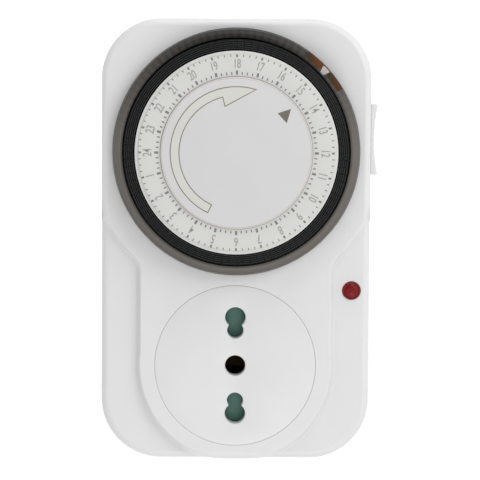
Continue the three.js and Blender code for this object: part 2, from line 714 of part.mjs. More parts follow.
// An outline drawn in the plane of height and depth, between two x positions.
function crossSlab(corners, left, right) {
  const shape = new THREE.Shape(corners.map(([y, z]) => new THREE.Vector2(z, y)));
  const options = { depth: right - left, bevelEnabled: false };
  const geometry = new THREE.ExtrudeGeometry(shape, options);
  geometry.rotateY(-PI / 2);
  geometry.translate(right, 0, 0);
  return solid(geometry);
}

// The follower: its nose stands behind the trippers, its tail under the contact blade.
function followerLever() {
  const nose = 31.1;
  const corners = [
    [36.4, 24.2], [36.4, nose], [34.6, nose], [34, 27], [26.4, 26.9],
    [26, 27.3], [23.8, 27.3], [23.8, 24.6], [26.4, 23.6], [30, 23.6], [31, 24.2],
  ];
  const body = crossSlab(corners, LEVER.left, LEVER.right);
  const bore = ARBOR_RADIUS + GAP;
  return cut(body, crossRod(LEVER.left - 1, LEVER.right + 1, LEVER_PIVOT.y, LEVER_PIVOT.z, bore));
}

const RIVET = { x: 15.5, y: 25, radius: 1.1 };
const BLADE = { left: 14.2, right: 27.6, back: 27.6, front: 28.1 };
const FIXED_BLADE = { left: 9.6, right: 17, back: 30.6, front: 31.2 };
const BLADE_HALF_HEIGHT = 1.4;

function contactBlade({ left, right, back, front }, rivetBack, rivetFront) {
  const strip = block(
    left, right, RIVET.y - BLADE_HALF_HEIGHT, RIVET.y + BLADE_HALF_HEIGHT, back, front,
  );
  return join(strip, rod(RIVET.x, RIVET.y, RIVET.radius, rivetBack, rivetFront));
}

const SIDE_CAP = { root: HOUSING_HALF_WIDTH + GAP, end: 38.1, middle: 37.2, back: 20.5, front: 31.5 };
const FLANGE = { left: 32.4, right: HOUSING_HALF_WIDTH - WALL - GAP, margin: 1.2 };

// A thumb slider: a hollowed cap outside, a stem through the wall, a flange inside.
function sideSwitch() {
  const low = SIDE_SWITCH_MIDDLE - SIDE_SWITCH_HALF_LENGTH;
  const high = SIDE_SWITCH_MIDDLE + SIDE_SWITCH_HALF_LENGTH;
  const shape = new THREE.Shape();
  shape.moveTo(SIDE_CAP.root, low);
  shape.lineTo(SIDE_CAP.end, low);
  shape.quadraticCurveTo(2 * SIDE_CAP.middle - SIDE_CAP.end, SIDE_SWITCH_MIDDLE, SIDE_CAP.end, high);
  shape.lineTo(SIDE_CAP.root, high);
  shape.closePath();
  const cap = slab(shape, SIDE_CAP.back, SIDE_CAP.front, 10);
  const { back, front } = SIDE_STEM;
  const stem = block(FLANGE.left, SIDE_CAP.root + 0.5, SIDE_STEM.low, SIDE_STEM.high, back, front);
  const flange = block(
    FLANGE.left, FLANGE.right,
    SIDE_STEM.low - FLANGE.margin, SIDE_STEM.high + FLANGE.margin,
    back - FLANGE.margin, front + FLANGE.margin,
  );
  return join(cap, stem, flange);
}

// Carries the slider's movement down and inwards to the lever.
function overrideLink() {
  const top = SIDE_STEM.low - FLANGE.margin - GAP;
  const upright = block(31.6, 33.3, 37, top, 24.4, 27.6);
  const arm = block(21, 33.3, 37, 39.4, 24.4, 27.6);
  return join(upright, arm);
}

// ---------------------------------------------------------------------------------
// Indicator

const LENS_RADIUS = 2.4;
const LENS_FRONT = 36.2;
const LENS_BACK = 31.7;

function indicatorLens() {
  const profile = [
    [0, LENS_BACK], [LENS_RADIUS, LENS_BACK], [LENS_RADIUS, FACE + 0.2],
    [1.9, FACE + 0.8], [1, LENS_FRONT - 0.1], [0, LENS_FRONT],
  ];
  return turned(profile, 16, INDICATOR.x, INDICATOR.y);
}

function neonLamp() {
  const radius = 1.7;
  const front = LENS_BACK - GAP;
  const profile = [[0, 22], [radius, 22], [radius, front - 1], [0.8, front], [0, front]];
  return turned(profile, 12, INDICATOR.x, INDICATOR.y);
}

function lampResistor() {
  return rod(INDICATOR.x, INDICATOR.y - 6, 1.2, 22, 28, 10);
}

// ---------------------------------------------------------------------------------
// Wires

const WIRE_RADIUS = 0.8;

function wire(points) {
  const path = new THREE.CatmullRomCurve3(points.map((point) => new THREE.Vector3(...point)));
  const shape = new THREE.Shape();
  shape.absarc(0, 0, WIRE_RADIUS, 0, 2 * PI);
  const options = { steps: 2 * points.length, extrudePath: path, curveSegments: 4 };
  return solid(new THREE.ExtrudeGeometry(shape, options));
}

// From the line pin to the blade's stand, and from the fixed contact to the socket.
const LINE_FEED_ROUTE = [
  [4.6, 13.6, 6.3], [9.5, 14.5, 6.2], [14.5, 17, 6.3],
  [19, 20.5, 9], [23.5, 23.5, 13], [26.2, 25, 17], [26.2, 25, 20.2],
];
const SWITCHED_LINE_ROUTE = [
  [10.8, 25, 20.2], [10.8, 25, 17], [10.5, 23.5, 14], [10, 22.5, 11], [7.5, 21.5, 8.4],
];

// ---------------------------------------------------------------------------------
// Assembly

node('front_cover', frontCover(), 'housing');
node('rear_cover', rearCover(), 'housing');
const CASE_SCREW = {
  head: CASE_HEAD_RADIUS, headBack: 4, headFront: COUNTERBORE_DEPTH - GAP,
  shank: CASE_SHANK_RADIUS, tip: CASE_SCREW_TIP,
};
CASE_SCREWS.forEach(([x, y], index) => {
  node(`case_screw_${index + 1}`, screw(x, y, CASE_SCREW), 'steel');
});

node('line_pin', plugPin(PIN_SPACING, true, LINE_TAIL_END), 'nickel');
node('earth_pin', plugPin(0, false, POCKET_FLOOR), 'nickel');
node('neutral_pin', plugPin(-PIN_SPACING, true, POCKET_FLOOR), 'nickel');
node('line_pin_sleeve', pinSleeve(PIN_SPACING), 'carrier');
node('neutral_pin_sleeve', pinSleeve(-PIN_SPACING), 'carrier');

node('socket_faceplate', socketFaceplate(), 'housing');
node('contact_carrier', contactCarrier(), 'carrier');
node('line_contact', contact(CONTACT.low, CONTACT.high), 'brass');
node('earth_contact', contact(-CONTACT.earthHalfHeight, CONTACT.earthHalfHeight), 'brass');
node('neutral_contact', contact(-CONTACT.high, -CONTACT.low), 'brass');
node('safety_shutter', safetyShutter(), 'shutter');
node('shutter_spring', shutterSpring(), 'steel');

node('bezel_ring', bezelRing(), 'smoked');
node('time_pointer', slab(pointerShape(0), POINTER.back, POINTER.front), 'dial');
node('pointer_backing', pointerBacking(), 'marker');
node('number_ring', numberRing(), 'dial');
node('dial_wheel', dialWheel(), 'gear');
node('tripper_ring', joinedTrippers(), 'tripper');
for (let index = 0; index < LOOSE_TRIPPERS; index += 1) {
  node(`tripper_${index + 1}`, looseTripper(index), 'tripper');
}
node('centre_disc', centreDisc(), 'dial');
node('dial_spindle', dialSpindle(), 'steel');

node('movement_plate', movementPlate(), 'carrier');
const MOVEMENT_SCREW = {
  head: MOVEMENT_HEAD_RADIUS, headBack: PLATE_BACK - GAP - 1.3, headFront: PLATE_BACK - GAP,
  shank: MOVEMENT_SHANK_RADIUS, tip: MOVEMENT_SCREW_TIP,
};
MOVEMENT_SCREWS.forEach(([x, y], index) => {
  node(`movement_screw_${index + 1}`, screw(x, y, MOVEMENT_SCREW), 'steel');
});
node('motor_can', motorCan(), 'steel');
node('motor_pinion', motorPinion(), 'gear');
node('gear_1', compoundGear(gear1Place, gear1Phase, GEAR_1_PINION, GEAR_1_WHEEL), 'gear');
node('gear_2', gear2(), 'gear');
const arbor = ({ x, y }) => rod(x, y, ARBOR_RADIUS, PLATE_BACK, ARBOR_FRONT);
node('gear_1_arbor', arbor(gear1Place), 'steel');
node('gear_2_arbor', arbor(gear2Place), 'steel');

node('follower_lever', followerLever(), 'gear');
const pivotLeft = LEVER.left - 2 * GAP - CHEEK.thickness;
const pivotRight = LEVER.right + 2 * GAP + CHEEK.thickness;
node('lever_pivot',
  crossRod(pivotLeft, pivotRight, LEVER_PIVOT.y, LEVER_PIVOT.z, ARBOR_RADIUS), 'steel');
node('moving_contact', contactBlade(BLADE, BLADE.back + 0.1, 28.8), 'brass');
node('fixed_contact', contactBlade(FIXED_BLADE, 30.2, FIXED_BLADE.back + 0.1), 'brass');
node('side_switch', sideSwitch(), 'housing');
node('override_link', overrideLink(), 'gear');

node('indicator_lens', indicatorLens(), 'lens');
node('neon_lamp', neonLamp(), 'glass');
node('lamp_resistor', lampResistor(), 'ceramic');
node('line_feed_wire', wire(LINE_FEED_ROUTE), 'wire');
node('switched_line_wire', wire(SWITCHED_LINE_ROUTE), 'wire');

export default timer;
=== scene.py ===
"""A plug-in 24 hour segment timer: the visual model, the studio and the camera.

Shapes are drawn in millimetres as seen from the front: x to the right, z up, and depth
counted from the wall towards the viewer. place() turns that into the row frame.
"""
import math

import bmesh
import bpy
from mathutils import Matrix, Vector
from mathutils.geometry import delaunay_2d_cdt


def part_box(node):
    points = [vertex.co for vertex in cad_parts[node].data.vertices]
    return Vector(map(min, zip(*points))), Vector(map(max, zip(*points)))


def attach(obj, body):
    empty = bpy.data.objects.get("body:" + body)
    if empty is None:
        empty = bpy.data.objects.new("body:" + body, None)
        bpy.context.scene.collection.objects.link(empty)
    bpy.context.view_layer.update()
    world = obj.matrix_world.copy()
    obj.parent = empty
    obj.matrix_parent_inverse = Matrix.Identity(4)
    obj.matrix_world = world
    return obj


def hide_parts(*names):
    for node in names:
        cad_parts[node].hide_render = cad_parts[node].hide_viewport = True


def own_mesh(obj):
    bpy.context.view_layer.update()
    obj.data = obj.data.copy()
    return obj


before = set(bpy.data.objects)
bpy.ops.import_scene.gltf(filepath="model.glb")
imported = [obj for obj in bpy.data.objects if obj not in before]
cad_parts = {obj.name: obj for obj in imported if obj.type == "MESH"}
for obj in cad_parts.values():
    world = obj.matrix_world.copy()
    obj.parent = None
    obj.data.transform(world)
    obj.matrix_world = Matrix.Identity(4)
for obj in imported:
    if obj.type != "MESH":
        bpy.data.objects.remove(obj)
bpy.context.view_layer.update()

MM = 0.001
TURN = 2 * math.pi
DEGREE = math.pi / 180


def edges(node):
    """A CAD node's box in drawing millimetres: left, right, low, high, back, front."""
    low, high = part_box(node)
    box = (low.x, high.x, low.z, high.z, -high.y, -low.y)
    return [round(value / MM, 2) for value in box]


# ---------------------------------------------------------------------------------------
# Driving dimensions, in millimetres.

LEFT, RIGHT, BOTTOM, TOP, PARTING, PLATEAU = edges("front_cover")
REAR_PARTING = edges("rear_cover")[5]
CORNER = 16
WALL = 2
EDGE = 2  # radius of the housing's outer edges
FACE = PLATEAU - 2  # the front face beside the raised plateau
CEILING = FACE - WALL
PAD_DEPTH = 3
FLOOR = PAD_DEPTH + WALL
MIDDLE_HEIGHT = (BOTTOM + TOP) / 2

_, BEZEL_OUTER, BEZEL_LOW, BEZEL_HIGH, BEZEL_BACK, BEZEL_FRONT = edges("bezel_ring")
DIAL_HEIGHT = (BEZEL_LOW + BEZEL_HIGH) / 2
BEZEL_BORE = 30.2
SMOKED_WIDTH = 2.8  # of the bezel's face, from the bore outwards
BEZEL_SKIRT = 31.2
DIAL_OPENING = 31.5

PLATEAU_DIAL_RADIUS = 39.5
PLATEAU_SOCKET_RADIUS = 26.2
PLATEAU_HALF_BRIDGE = 26
PLATEAU_BLEND = 2
STEP_OUT = -0.8
STEP_IN = 0.8
PLATEAU_SIDE_HEIGHT = 39.5  # where the plateau's edge reaches the side of the housing

FACEPLATE_RADIUS = edges("socket_faceplate")[1]
FACEPLATE_BACK = edges("socket_faceplate")[4]
FACEPLATE_LEDGE = 35
FACEPLATE_BOSS = 19.2
PLATE_EDGE = FACEPLATE_RADIUS + 0.08
FACEPLATE_OPENING = PLATE_EDGE + 0.05
PIN_SPACING = 13
NARROW_SPACING = 9.5
PIN_HOLE = 2.75
NARROW_HOLE = 2.18

CASE_SCREWS = [[-29, 82.5], [29, 82.5], [-29, -14.8], [29, -14.8]]
MOVEMENT_SCREWS = [[-23.5, 86.8], [23.5, 86.8], [-30.5, 27], [30.5, 27]]
INDICATOR = (31.2, 20.2)
LENS_RADIUS = 2.4
LENS_HOLE = 2.48

TRIPPER_INNER = 27.2
TRIPPER_OUTER = 29.9
TRIPPER_BACK, TRIPPER_FRONT = edges("tripper_ring")[4:]
TRIPPER_COUNT = 96
TRIPPER_PITCH = TURN / TRIPPER_COUNT
TRIPPER_GAP = 0.05
RIDGES = 5
RIDGE_WIDTH = (TRIPPER_OUTER - TRIPPER_INNER) / RIDGES
LOOSE_TRIPPERS = 8
OPEN_SECTOR = 285 * DEGREE

NUMBER_OUTER = edges("number_ring")[1]
NUMBER_BACK, LABEL_TOP = edges("number_ring")[4:]
NUMBER_BORE = 20.06
LABEL_OUTER = 25.9
RIM_TOP = 45.3
DISC_RADIUS = edges("centre_disc")[1]
DISC_BACK, DISC_FRONT = edges("centre_disc")[4:]
DISC_FACE = DISC_FRONT - 0.03  # leaves room for the print
PRINT_HEIGHT = 0.03
FIGURE_HEIGHT = 3.3
FIGURE_RADIUS = 23.35
FIGURE_SQUEEZE = 0.68  # the figures are narrower than the font's own

# ---------------------------------------------------------------------------------------
# Materials


def linear(red, green, blue):
    """A display colour, 0 to 255, as the linear values that shaders take."""
    shares = [channel / 255 for channel in (red, green, blue)]
    return [s / 12.92 if s <= 0.04045 else ((s + 0.055) / 1.055) ** 2.4 for s in shares] + [1]


def plug(owner, value, socket):
    """Puts a value on a socket, or links it when the value is a socket itself."""
    if isinstance(value, bpy.types.NodeSocket):
        owner.node_tree.links.new(value, socket)
    elif value is not None:
        socket.default_value = value


def feed(owner, node, **values):
    """Values or sockets for a node's inputs, or for its own settings."""
    for name, value in values.items():
        socket = node.inputs.get(name.replace("_", " "))
        if socket is None:
            setattr(node, name, value)
        else:
            plug(owner, value, socket)
    return node


def add(owner, kind, **values):
    """A new node of that kind in a material or the world."""
    return feed(owner, owner.node_tree.nodes.new(kind), **values)


def shader(name, **values):
    """A new material and its Principled shader."""
    material = bpy.data.materials.new(name)
    material.use_nodes = True
    return material, feed(material, material.node_tree.nodes["Principled BSDF"], **values)


def own_place(material):
    """Coordinates fixed to the piece, in metres."""
    return add(material, "ShaderNodeTexCoord").outputs["Object"]


def noise(material, scale, detail=3.0):
    """Noise fixed to the piece: scale is the number of blotches in a metre."""
    where = own_place(material)
    texture = add(material, "ShaderNodeTexNoise", Scale=scale, Detail=detail, Vector=where)
    return texture.outputs["Fac"]


def ramp(material, factor, stops):
    """A colour ramp of [position, colour] stops driven by factor."""
    node = add(material, "ShaderNodeValToRGB", Fac=factor)
    while len(node.color_ramp.elements) < len(stops):
        node.color_ramp.elements.new(0.5)
    for element, (position, colour) in zip(node.color_ramp.elements, stops):
        element.position = position
        element.color = colour
    return node.outputs["Color"]


def mapped(owner, value, low, high, start=0.0, end=1.0):
    """value, between start and end, spread between low and high."""
    limits = {"From_Min": start, "From_Max": end, "To_Min": low, "To_Max": high}
    return add(owner, "ShaderNodeMapRange", Value=value, **limits).outputs["Result"]


def maths(owner, operation, first, second=None):
    """One sum on numbers or sockets."""
    node = add(owner, "ShaderNodeMath", operation=operation)
    plug(owner, first, node.inputs[0])
    plug(owner, second, node.inputs[1])
    return node.outputs["Value"]


def grained(material, height, distance):
    """Normals bent by height, 0 to 1, times a distance in metres."""
    bump = add(material, "ShaderNodeBump", Height=height, Distance=distance, Strength=1.0)
    return bump.outputs["Normal"]


def tinted(colour, share):
    return [min(1, channel * share) for channel in colour[:3]] + [1]


def moulded(name, colour, roughness, cloud=90, depth=6e-6, vary=0.03, **options):
    """A moulded plastic: slow clouds in its colour and its gloss, and a fine grain."""
    material, bsdf = shader(name, **options)
    base = linear(*colour)
    stops = [[0.3, tinted(base, 1 - vary)], [0.7, tinted(base, 1 + vary)]]
    gloss = noise(material, cloud * 6, 2.0)
    feed(
        material, bsdf,
        Base_Color=ramp(material, noise(material, cloud, 4.0), stops),
        Roughness=mapped(material, gloss, roughness * 0.85, roughness * 1.15),
        Normal=grained(material, noise(material, 3500, 2.0), depth),
    )
    return material


def metal(name, colour, roughness):
    """A metal with fine drawn lines and slight tarnish."""
    material, bsdf = shader(name, Metallic=1.0)
    base = linear(*colour)
    stops = [[0.35, tinted(base, 0.82)], [0.65, base]]
    drawn = add(material, "ShaderNodeMapping", Vector=own_place(material), Scale=(900, 900, 60))
    drawn = drawn.outputs["Vector"]
    strokes = add(material, "ShaderNodeTexNoise", Scale=6.0, Detail=3.0, Vector=drawn).outputs["Fac"]
    feed(
        material, bsdf,
        Base_Color=ramp(material, noise(material, 250, 4.0), stops),
        Roughness=mapped(material, strokes, roughness * 0.7, roughness * 1.3),
        Normal=grained(material, strokes, 3e-6),
    )
    return material


def dial_radius(material):
    """Distance from the dial's axis, and the sideways and upward parts of it."""
    centred = add(material, "ShaderNodeVectorMath", operation="SUBTRACT", Vector=own_place(material))
    plug(material, (0, 0, DIAL_HEIGHT * MM), centred.inputs[1])
    parts = add(material, "ShaderNodeSeparateXYZ", Vector=centred.outputs["Vector"])
    x, z = parts.outputs["X"], parts.outputs["Z"]
    squares = [maths(material, "MULTIPLY", side, side) for side in (x, z)]
    return maths(material, "SQRT", maths(material, "ADD", *squares)), x, z


def share_of(material, value, first, width):
    """How far value has gone from first over width, both in millimetres."""
    return maths(material, "DIVIDE", maths(material, "SUBTRACT", value, first * MM), width * MM)


def smoked_material():
    """Smoked plastic: the black trippers behind it make it darker, painted shade darkens it towards
    the top, and the trippers' outer ends make faint radial bars in its upper half."""
    material, bsdf = shader("smoked_clear", IOR=1.49, Roughness=0.3, Specular_IOR_Level=0.12)
    radius, x, z = dial_radius(material)
    colours = [
        [0.0, linear(84, 83, 81)],
        [0.10, linear(78, 76, 72)],
        [0.22, linear(98, 94, 89)],
        [0.60, linear(88, 84, 80)],
        [1.0, linear(58, 54, 50)],
    ]
    base = ramp(material, share_of(material, radius, BEZEL_BORE, SMOKED_WIDTH), colours)
    around = maths(material, "MULTIPLY", maths(material, "ARCTAN2", z, x), TRIPPER_COUNT)
    height = maths(material, "DIVIDE", z, radius)
    # Painted shade: the colour is darkened towards the top of the ring, down to 0.16 of itself.
    light = mapped(material, height, 1.0, 0.16, start=0.1)
    dark = maths(material, "SUBTRACT", 1.0, light)
    bars = maths(material, "MULTIPLY", maths(material, "SINE", around), dark)
    bands = maths(material, "ADD", 1.0, maths(material, "MULTIPLY", bars, 0.3))
    shade = maths(material, "MULTIPLY", light, bands)
    shaded = add(material, "ShaderNodeVectorMath", operation="SCALE", Vector=base, Scale=shade)
    feed(
        material, bsdf,
        Base_Color=shaded.outputs["Vector"],
        Normal=grained(material, noise(material, 500, 2.0), 8e-6),
    )
    return material


def faded(name, first_x, first_colour, last_x, last_colour):
    """A coloured piece seen through the smoked ring: its colour fades sideways."""
    material, bsdf = shader(name, Roughness=0.35, Specular_IOR_Level=0.1)
    share = share_of(material, dial_radius(material)[1], first_x, last_x - first_x)
    cloudy = maths(material, "ADD", share, mapped(material, noise(material, 700), -0.2, 0.2))
    stops = [[0.0, linear(*first_colour)], [1.0, linear(*last_colour)]]
    feed(
        material, bsdf,
        Base_Color=ramp(material, cloudy, stops),
        Normal=grained(material, noise(material, 900, 2.0), 5e-6),
    )
    return material


def tripper_material():
    """Black plastic, with a painted highlight in lighter bands along the crests of its fine ridges."""
    material, bsdf = shader("tripper_plastic", Specular_IOR_Level=0.12)
    ridges = share_of(material, dial_radius(material)[0], TRIPPER_INNER, RIDGE_WIDTH)
    black, crest_highlight = linear(6, 6, 6), linear(74, 76, 77)
    # The second colour is a painted highlight: lighter bands along each ridge crest.
    stops = [[0.0, black], [0.06, crest_highlight], [0.24, crest_highlight], [0.32, black]]
    feed(
        material, bsdf,
        Base_Color=ramp(material, maths(material, "FRACT", ridges), stops),
        Roughness=mapped(material, noise(material, 700, 2.0), 0.26, 0.36),
        Normal=grained(material, noise(material, 2500, 2.0), 8e-6),
    )
    return material


HOUSING = moulded("housing_plastic", (197, 197, 197), 0.42, depth=5e-6, vary=0.012)
PLATE = moulded("faceplate_plastic", (197, 197, 197), 0.38, depth=4e-6, vary=0.012)
DIAL = moulded("dial_plastic", (186, 186, 183), 0.46, vary=0.015)
DISC = moulded("disc_plastic", (184, 184, 184), 0.4, vary=0.015)
CREAM = moulded("arrow_filling", (184, 184, 179), 0.45, vary=0.02)
TRIPPER = tripper_material()
SMOKED = smoked_material()
ORANGE = faded("marker_orange", 19.2, (56, 47, 38), 22.2, (98, 48, 12))
BROWN = faded("marker_brown", 24.2, (54, 46, 34), 27.3, (78, 46, 20))
WEDGE = moulded("wedge_plastic", (160, 154, 152), 0.4, vary=0.06, cloud=600, Specular_IOR_Level=0.2)
TICKS = moulded("dial_ink", (108, 108, 105), 0.6, vary=0.12, cloud=400)
FIGURES = moulded("figure_ink", (138, 138, 134), 0.6, vary=0.1, cloud=400)
ARROW_INK = moulded("arrow_ink", (120, 108, 96), 0.55, vary=0.12, cloud=400)
EDGE_INK = moulded("edge_ink", (176, 156, 140), 0.55, vary=0.1, cloud=200)
INDEX_INK = moulded("index_ink", (95, 88, 78), 0.5, vary=0.08, cloud=400)
SHUTTER = moulded("shutter_green", (64, 108, 96), 0.4, vary=0.06, cloud=300)
CARRIER = moulded("carrier_dark", (43, 42, 41), 0.6, vary=0.1)
GEAR = moulded("gear_natural", (231, 226, 210), 0.5, vary=0.03, cloud=200)
CERAMIC = moulded("resistor_body", (199, 180, 138), 0.6, vary=0.08, cloud=800)
WIRE = moulded("wire_insulation", (107, 58, 34), 0.5, vary=0.08, cloud=300)
LENS = moulded(
    "lens_red", (114, 8, 13), 0.25, vary=0.12, cloud=900,
    Transmission_Weight=0.15, Specular_IOR_Level=0.15, IOR=1.5,
)
GLASS = moulded("neon_glass", (240, 180, 140), 0.06, vary=0.05, Transmission_Weight=0.85, IOR=1.5)
BRASS = metal("brass", (196, 160, 90), 0.3)
# A darker copy of the brass, with painted shade for the earth contact deep in its hole, and a rougher
# finish.
DULL_SHADED_BRASS = metal("dull_shaded_brass", (84, 70, 50), 0.5)
NICKEL = metal("pin_nickel", (214, 211, 204), 0.22)
STEEL = metal("steel", (172, 174, 176), 0.34)

# ---------------------------------------------------------------------------------------
# Mesh building


def place(x, z, depth):
    return Vector((x * MM, -depth * MM, z * MM))


def shown(name, data):
    """A new object in the scene."""
    piece = bpy.data.objects.new(name, data)
    bpy.context.scene.collection.objects.link(piece)
    return piece


class Draft:
    """The points and faces of a piece while it's drawn."""

    def __init__(self):
        self.points = []
        self.faces = []

    def add_points(self, triples):
        first = len(self.points)
        self.points.extend(place(*triple) for triple in triples)
        return list(range(first, len(self.points)))

    def loop(self, outline, depth):
        """The point numbers of a flat outline laid at one depth."""
        return self.add_points([(x, z, depth) for x, z in outline])

    def band(self, loops, closed=True):
        """Quads between one loop of point numbers and the next."""
        for lower, upper in zip(loops, loops[1:]):
            count = len(lower)
            for i in range(count if closed else count - 1):
                j = (i + 1) % count
                self.faces.append((lower[i], lower[j], upper[j], upper[i]))

    def rod(self, loops):
        """A band with a face at each end."""
        self.band(loops)
        self.faces += [tuple(loops[0]), tuple(loops[-1])]

    def flat(self, outer, holes=()):
        """Triangles over the area inside the outer loop and outside the holes."""
        numbers = []
        borders = []
        polygons = []
        for loop in (outer, *holes):
            first, size = len(numbers), len(loop)
            numbers += loop
            borders += [(first + i, first + (i + 1) % size) for i in range(size)]
            polygons.append([Vector((self.points[n].x / MM, self.points[n].z / MM)) for n in loop])
        corners = [point for polygon in polygons for point in polygon]
        made, _, triangles, origins, _, _ = delaunay_2d_cdt(corners, borders, [], 0, 1e-6)
        for triangle in triangles:
            centre = sum((made[i] for i in triangle), Vector((0, 0))) / 3
            if inside(centre, polygons[0]) and not any(inside(centre, p) for p in polygons[1:]):
                self.faces.append(tuple(numbers[origins[i][0]] for i in triangle))

    def build(self, name, material, body, stands_for=(), normals=None, angle=35):
        """The finished piece, riding on its body."""
        mesh = bpy.data.meshes.new(name)
        mesh.from_pydata(self.points, [], self.faces)
        tidy = bmesh.new()
        tidy.from_mesh(mesh)
        bmesh.ops.remove_doubles(tidy, verts=tidy.verts, dist=1e-7)
        bmesh.ops.dissolve_degenerate(tidy, edges=tidy.edges, dist=1e-8)
        bmesh.ops.recalc_face_normals(tidy, faces=tidy.faces)
        tidy.to_mesh(mesh)
        tidy.free()
        mesh.shade_smooth()
        mesh.set_sharp_from_angle(angle=angle * DEGREE)
        mesh.materials.append(material)
        piece = shown(name, mesh)
        if normals:
            set_normals(mesh, normals)
        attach(piece, body)
        if stands_for:
            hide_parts(*stands_for)
        return piece


def inside(point, polygon):
    """Whether a flat point is inside a polygon, by counting crossings."""
    result = False
    for a, b in zip(polygon, polygon[1:] + polygon[:1]):
        if (a.y > point.y) != (b.y > point.y):
            if point.x < a.x + (point.y - a.y) * (b.x - a.x) / (b.y - a.y):
                result = not result
    return result


def set_normals(mesh, normal_at):
    """Exact normals where normal_at(point) gives one, and the mesh's own elsewhere."""
    own = [Vector(corner.vector) for corner in mesh.corner_normals]
    for polygon in mesh.polygons:
        facing = polygon.normal
        for corner in polygon.loop_indices:
            exact = normal_at(mesh.vertices[mesh.loops[corner].vertex_index].co, facing)
            if exact is not None:
                own[corner] = exact
    mesh.normals_split_custom_set([tuple(normal) for normal in own])


def rounded(profile, radius, steps=3, closed=False):
    """A profile with its corners rounded. A corner's own radius may follow as a third number."""
    count = len(profile)
    result = []
    for index, corner in enumerate(profile):
        own = corner[2] if len(corner) > 2 else radius
        here = Vector(corner[:2])
        is_end = not closed and index in (0, count - 1)
        if is_end or own <= 0:
            result.append(tuple(here))
            continue
        before = Vector(profile[index - 1][:2]) - here
        after = Vector(profile[(index + 1) % count][:2]) - here
        turn = before.angle(after)
        if turn > math.pi - 0.02:
            result.append(tuple(here))
            continue
        reach = min(own / math.tan(turn / 2), before.length * 0.49, after.length * 0.49)
        true_radius = reach * math.tan(turn / 2)
        start = here + before.normalized() * reach
        end = here + after.normalized() * reach
        middle = here + (before.normalized() + after.normalized()).normalized() * (
            true_radius / math.sin(turn / 2)
        )
        for step in range(steps + 1):
            share = step / steps
            spoke = (start - middle).lerp(end - middle, share).normalized()
            result.append(tuple(middle + spoke * true_radius))
    return result


def polar(x, z, radius, angle):
    return (x + radius * math.cos(angle), z + radius * math.sin(angle))


def circle(x, z, radius, count):
    return [polar(x, z, radius, TURN * i / count) for i in range(count)]


def turned(draft, profile, count, x=0.0, z=0.0, closed=True):
    """A profile of [radius, depth] turned about the depth axis at x, z. An open profile
    starts and ends on the axis."""
    loops = []
    for radius, depth in profile:
        outline = circle(x, z, radius, count) if radius > 1e-6 else [(x, z)]
        loops.append(draft.loop(outline, depth))
    if closed:
        loops.append(loops[0])
    for lower, upper in zip(loops, loops[1:]):
        if len(lower) == 1 and len(upper) == 1:
            continue
        if len(lower) == 1 or len(upper) == 1:
            tip, rim = (lower, upper) if len(lower) == 1 else (upper, lower)
            for i in range(count):
                draft.faces.append((tip[0], rim[i], rim[(i + 1) % count]))
        else:
            draft.band([lower, upper])


def slab(draft, outline, back, front, fillet, steps=2, holes=()):
    """An outline between two depths with rounded edges. outline(inset) gives the points of
    the outline drawn in by inset, and each hole(grow) those of a hole grown by grow."""
    curve = [(fillet * (1 - math.sin(a)), fillet * (1 - math.cos(a)))
             for a in (math.pi / 2 * k / steps for k in range(steps + 1))]
    levels = [(shift, back + rise) for shift, rise in curve]
    levels += [(shift, front - rise) for shift, rise in reversed(curve)]

    def wall(shape):
        return [draft.loop(shape(shift), depth) for shift, depth in levels]

    outer = wall(outline)
    inner = [wall(hole) for hole in holes]
    for loops in (outer, *inner):
        draft.band(loops)
    draft.flat(outer[0], [loops[0] for loops in inner])
    draft.flat(outer[-1], [loops[-1] for loops in inner])


def arc(x, z, radius, start, end, count):
    return [polar(x, z, radius, start + (end - start) * i / count) for i in range(count + 1)]


def rounded_rectangle(left, right, low, high, radius, inset=0.0, steps=5):
    corners = [
        (right - radius, low + radius, -90),
        (right - radius, high - radius, 0),
        (left + radius, high - radius, 90),
        (left + radius, low + radius, 180),
    ]
    points = []
    for x, z, start in corners:
        points += arc(x, z, radius - inset, start * DEGREE, (start + 90) * DEGREE, steps)
    return points


def dial_point(radius, angle):
    return polar(0, DIAL_HEIGHT, radius, angle)


# ---------------------------------------------------------------------------------------
# Housing


def housing_inset(x, z):
    """How far inside the housing's outline a point is."""
    beyond_x = abs(x) - (RIGHT - CORNER)
    beyond_z = abs(z - MIDDLE_HEIGHT) - ((TOP - BOTTOM) / 2 - CORNER)
    outside = math.hypot(max(beyond_x, 0), max(beyond_z, 0))
    return CORNER - outside - min(max(beyond_x, beyond_z), 0)


def smooth_max(a, b, blend):
    near = max(blend - abs(a - b), 0) / blend
    return max(a, b) + near * near * blend / 4


def plateau_distance(x, z):
    """How far inside the plateau's outline a point is; negative outside."""
    dial = PLATEAU_DIAL_RADIUS - math.hypot(x, z - DIAL_HEIGHT)
    socket = PLATEAU_SOCKET_RADIUS - math.hypot(x, z)
    bridge = min(PLATEAU_HALF_BRIDGE - abs(x), z, DIAL_HEIGHT - z)
    return max(smooth_max(dial, bridge, PLATEAU_BLEND), socket, z - DIAL_HEIGHT)


def edge_drop(inset):
    if inset >= EDGE:
        return 0
    inset = max(inset, 0)
    return EDGE - math.sqrt(EDGE * EDGE - (EDGE - inset) ** 2)


def front_depth(x, z):
    share = (plateau_distance(x, z) - STEP_OUT) / (STEP_IN - STEP_OUT)
    share = min(max(share, 0), 1)
    raised = (PLATEAU - FACE) * share * share * (3 - 2 * share)
    return FACE + raised - edge_drop(housing_inset(x, z))


def rear_depth(x, z):
    return PAD_DEPTH + edge_drop(housing_inset(x, z))


def gradient(function, x, z, step=0.01):
    return Vector((
        (function(x + step, z) - function(x - step, z)) / (2 * step),
        (function(x, z + step) - function(x, z - step)) / (2 * step),
    ))


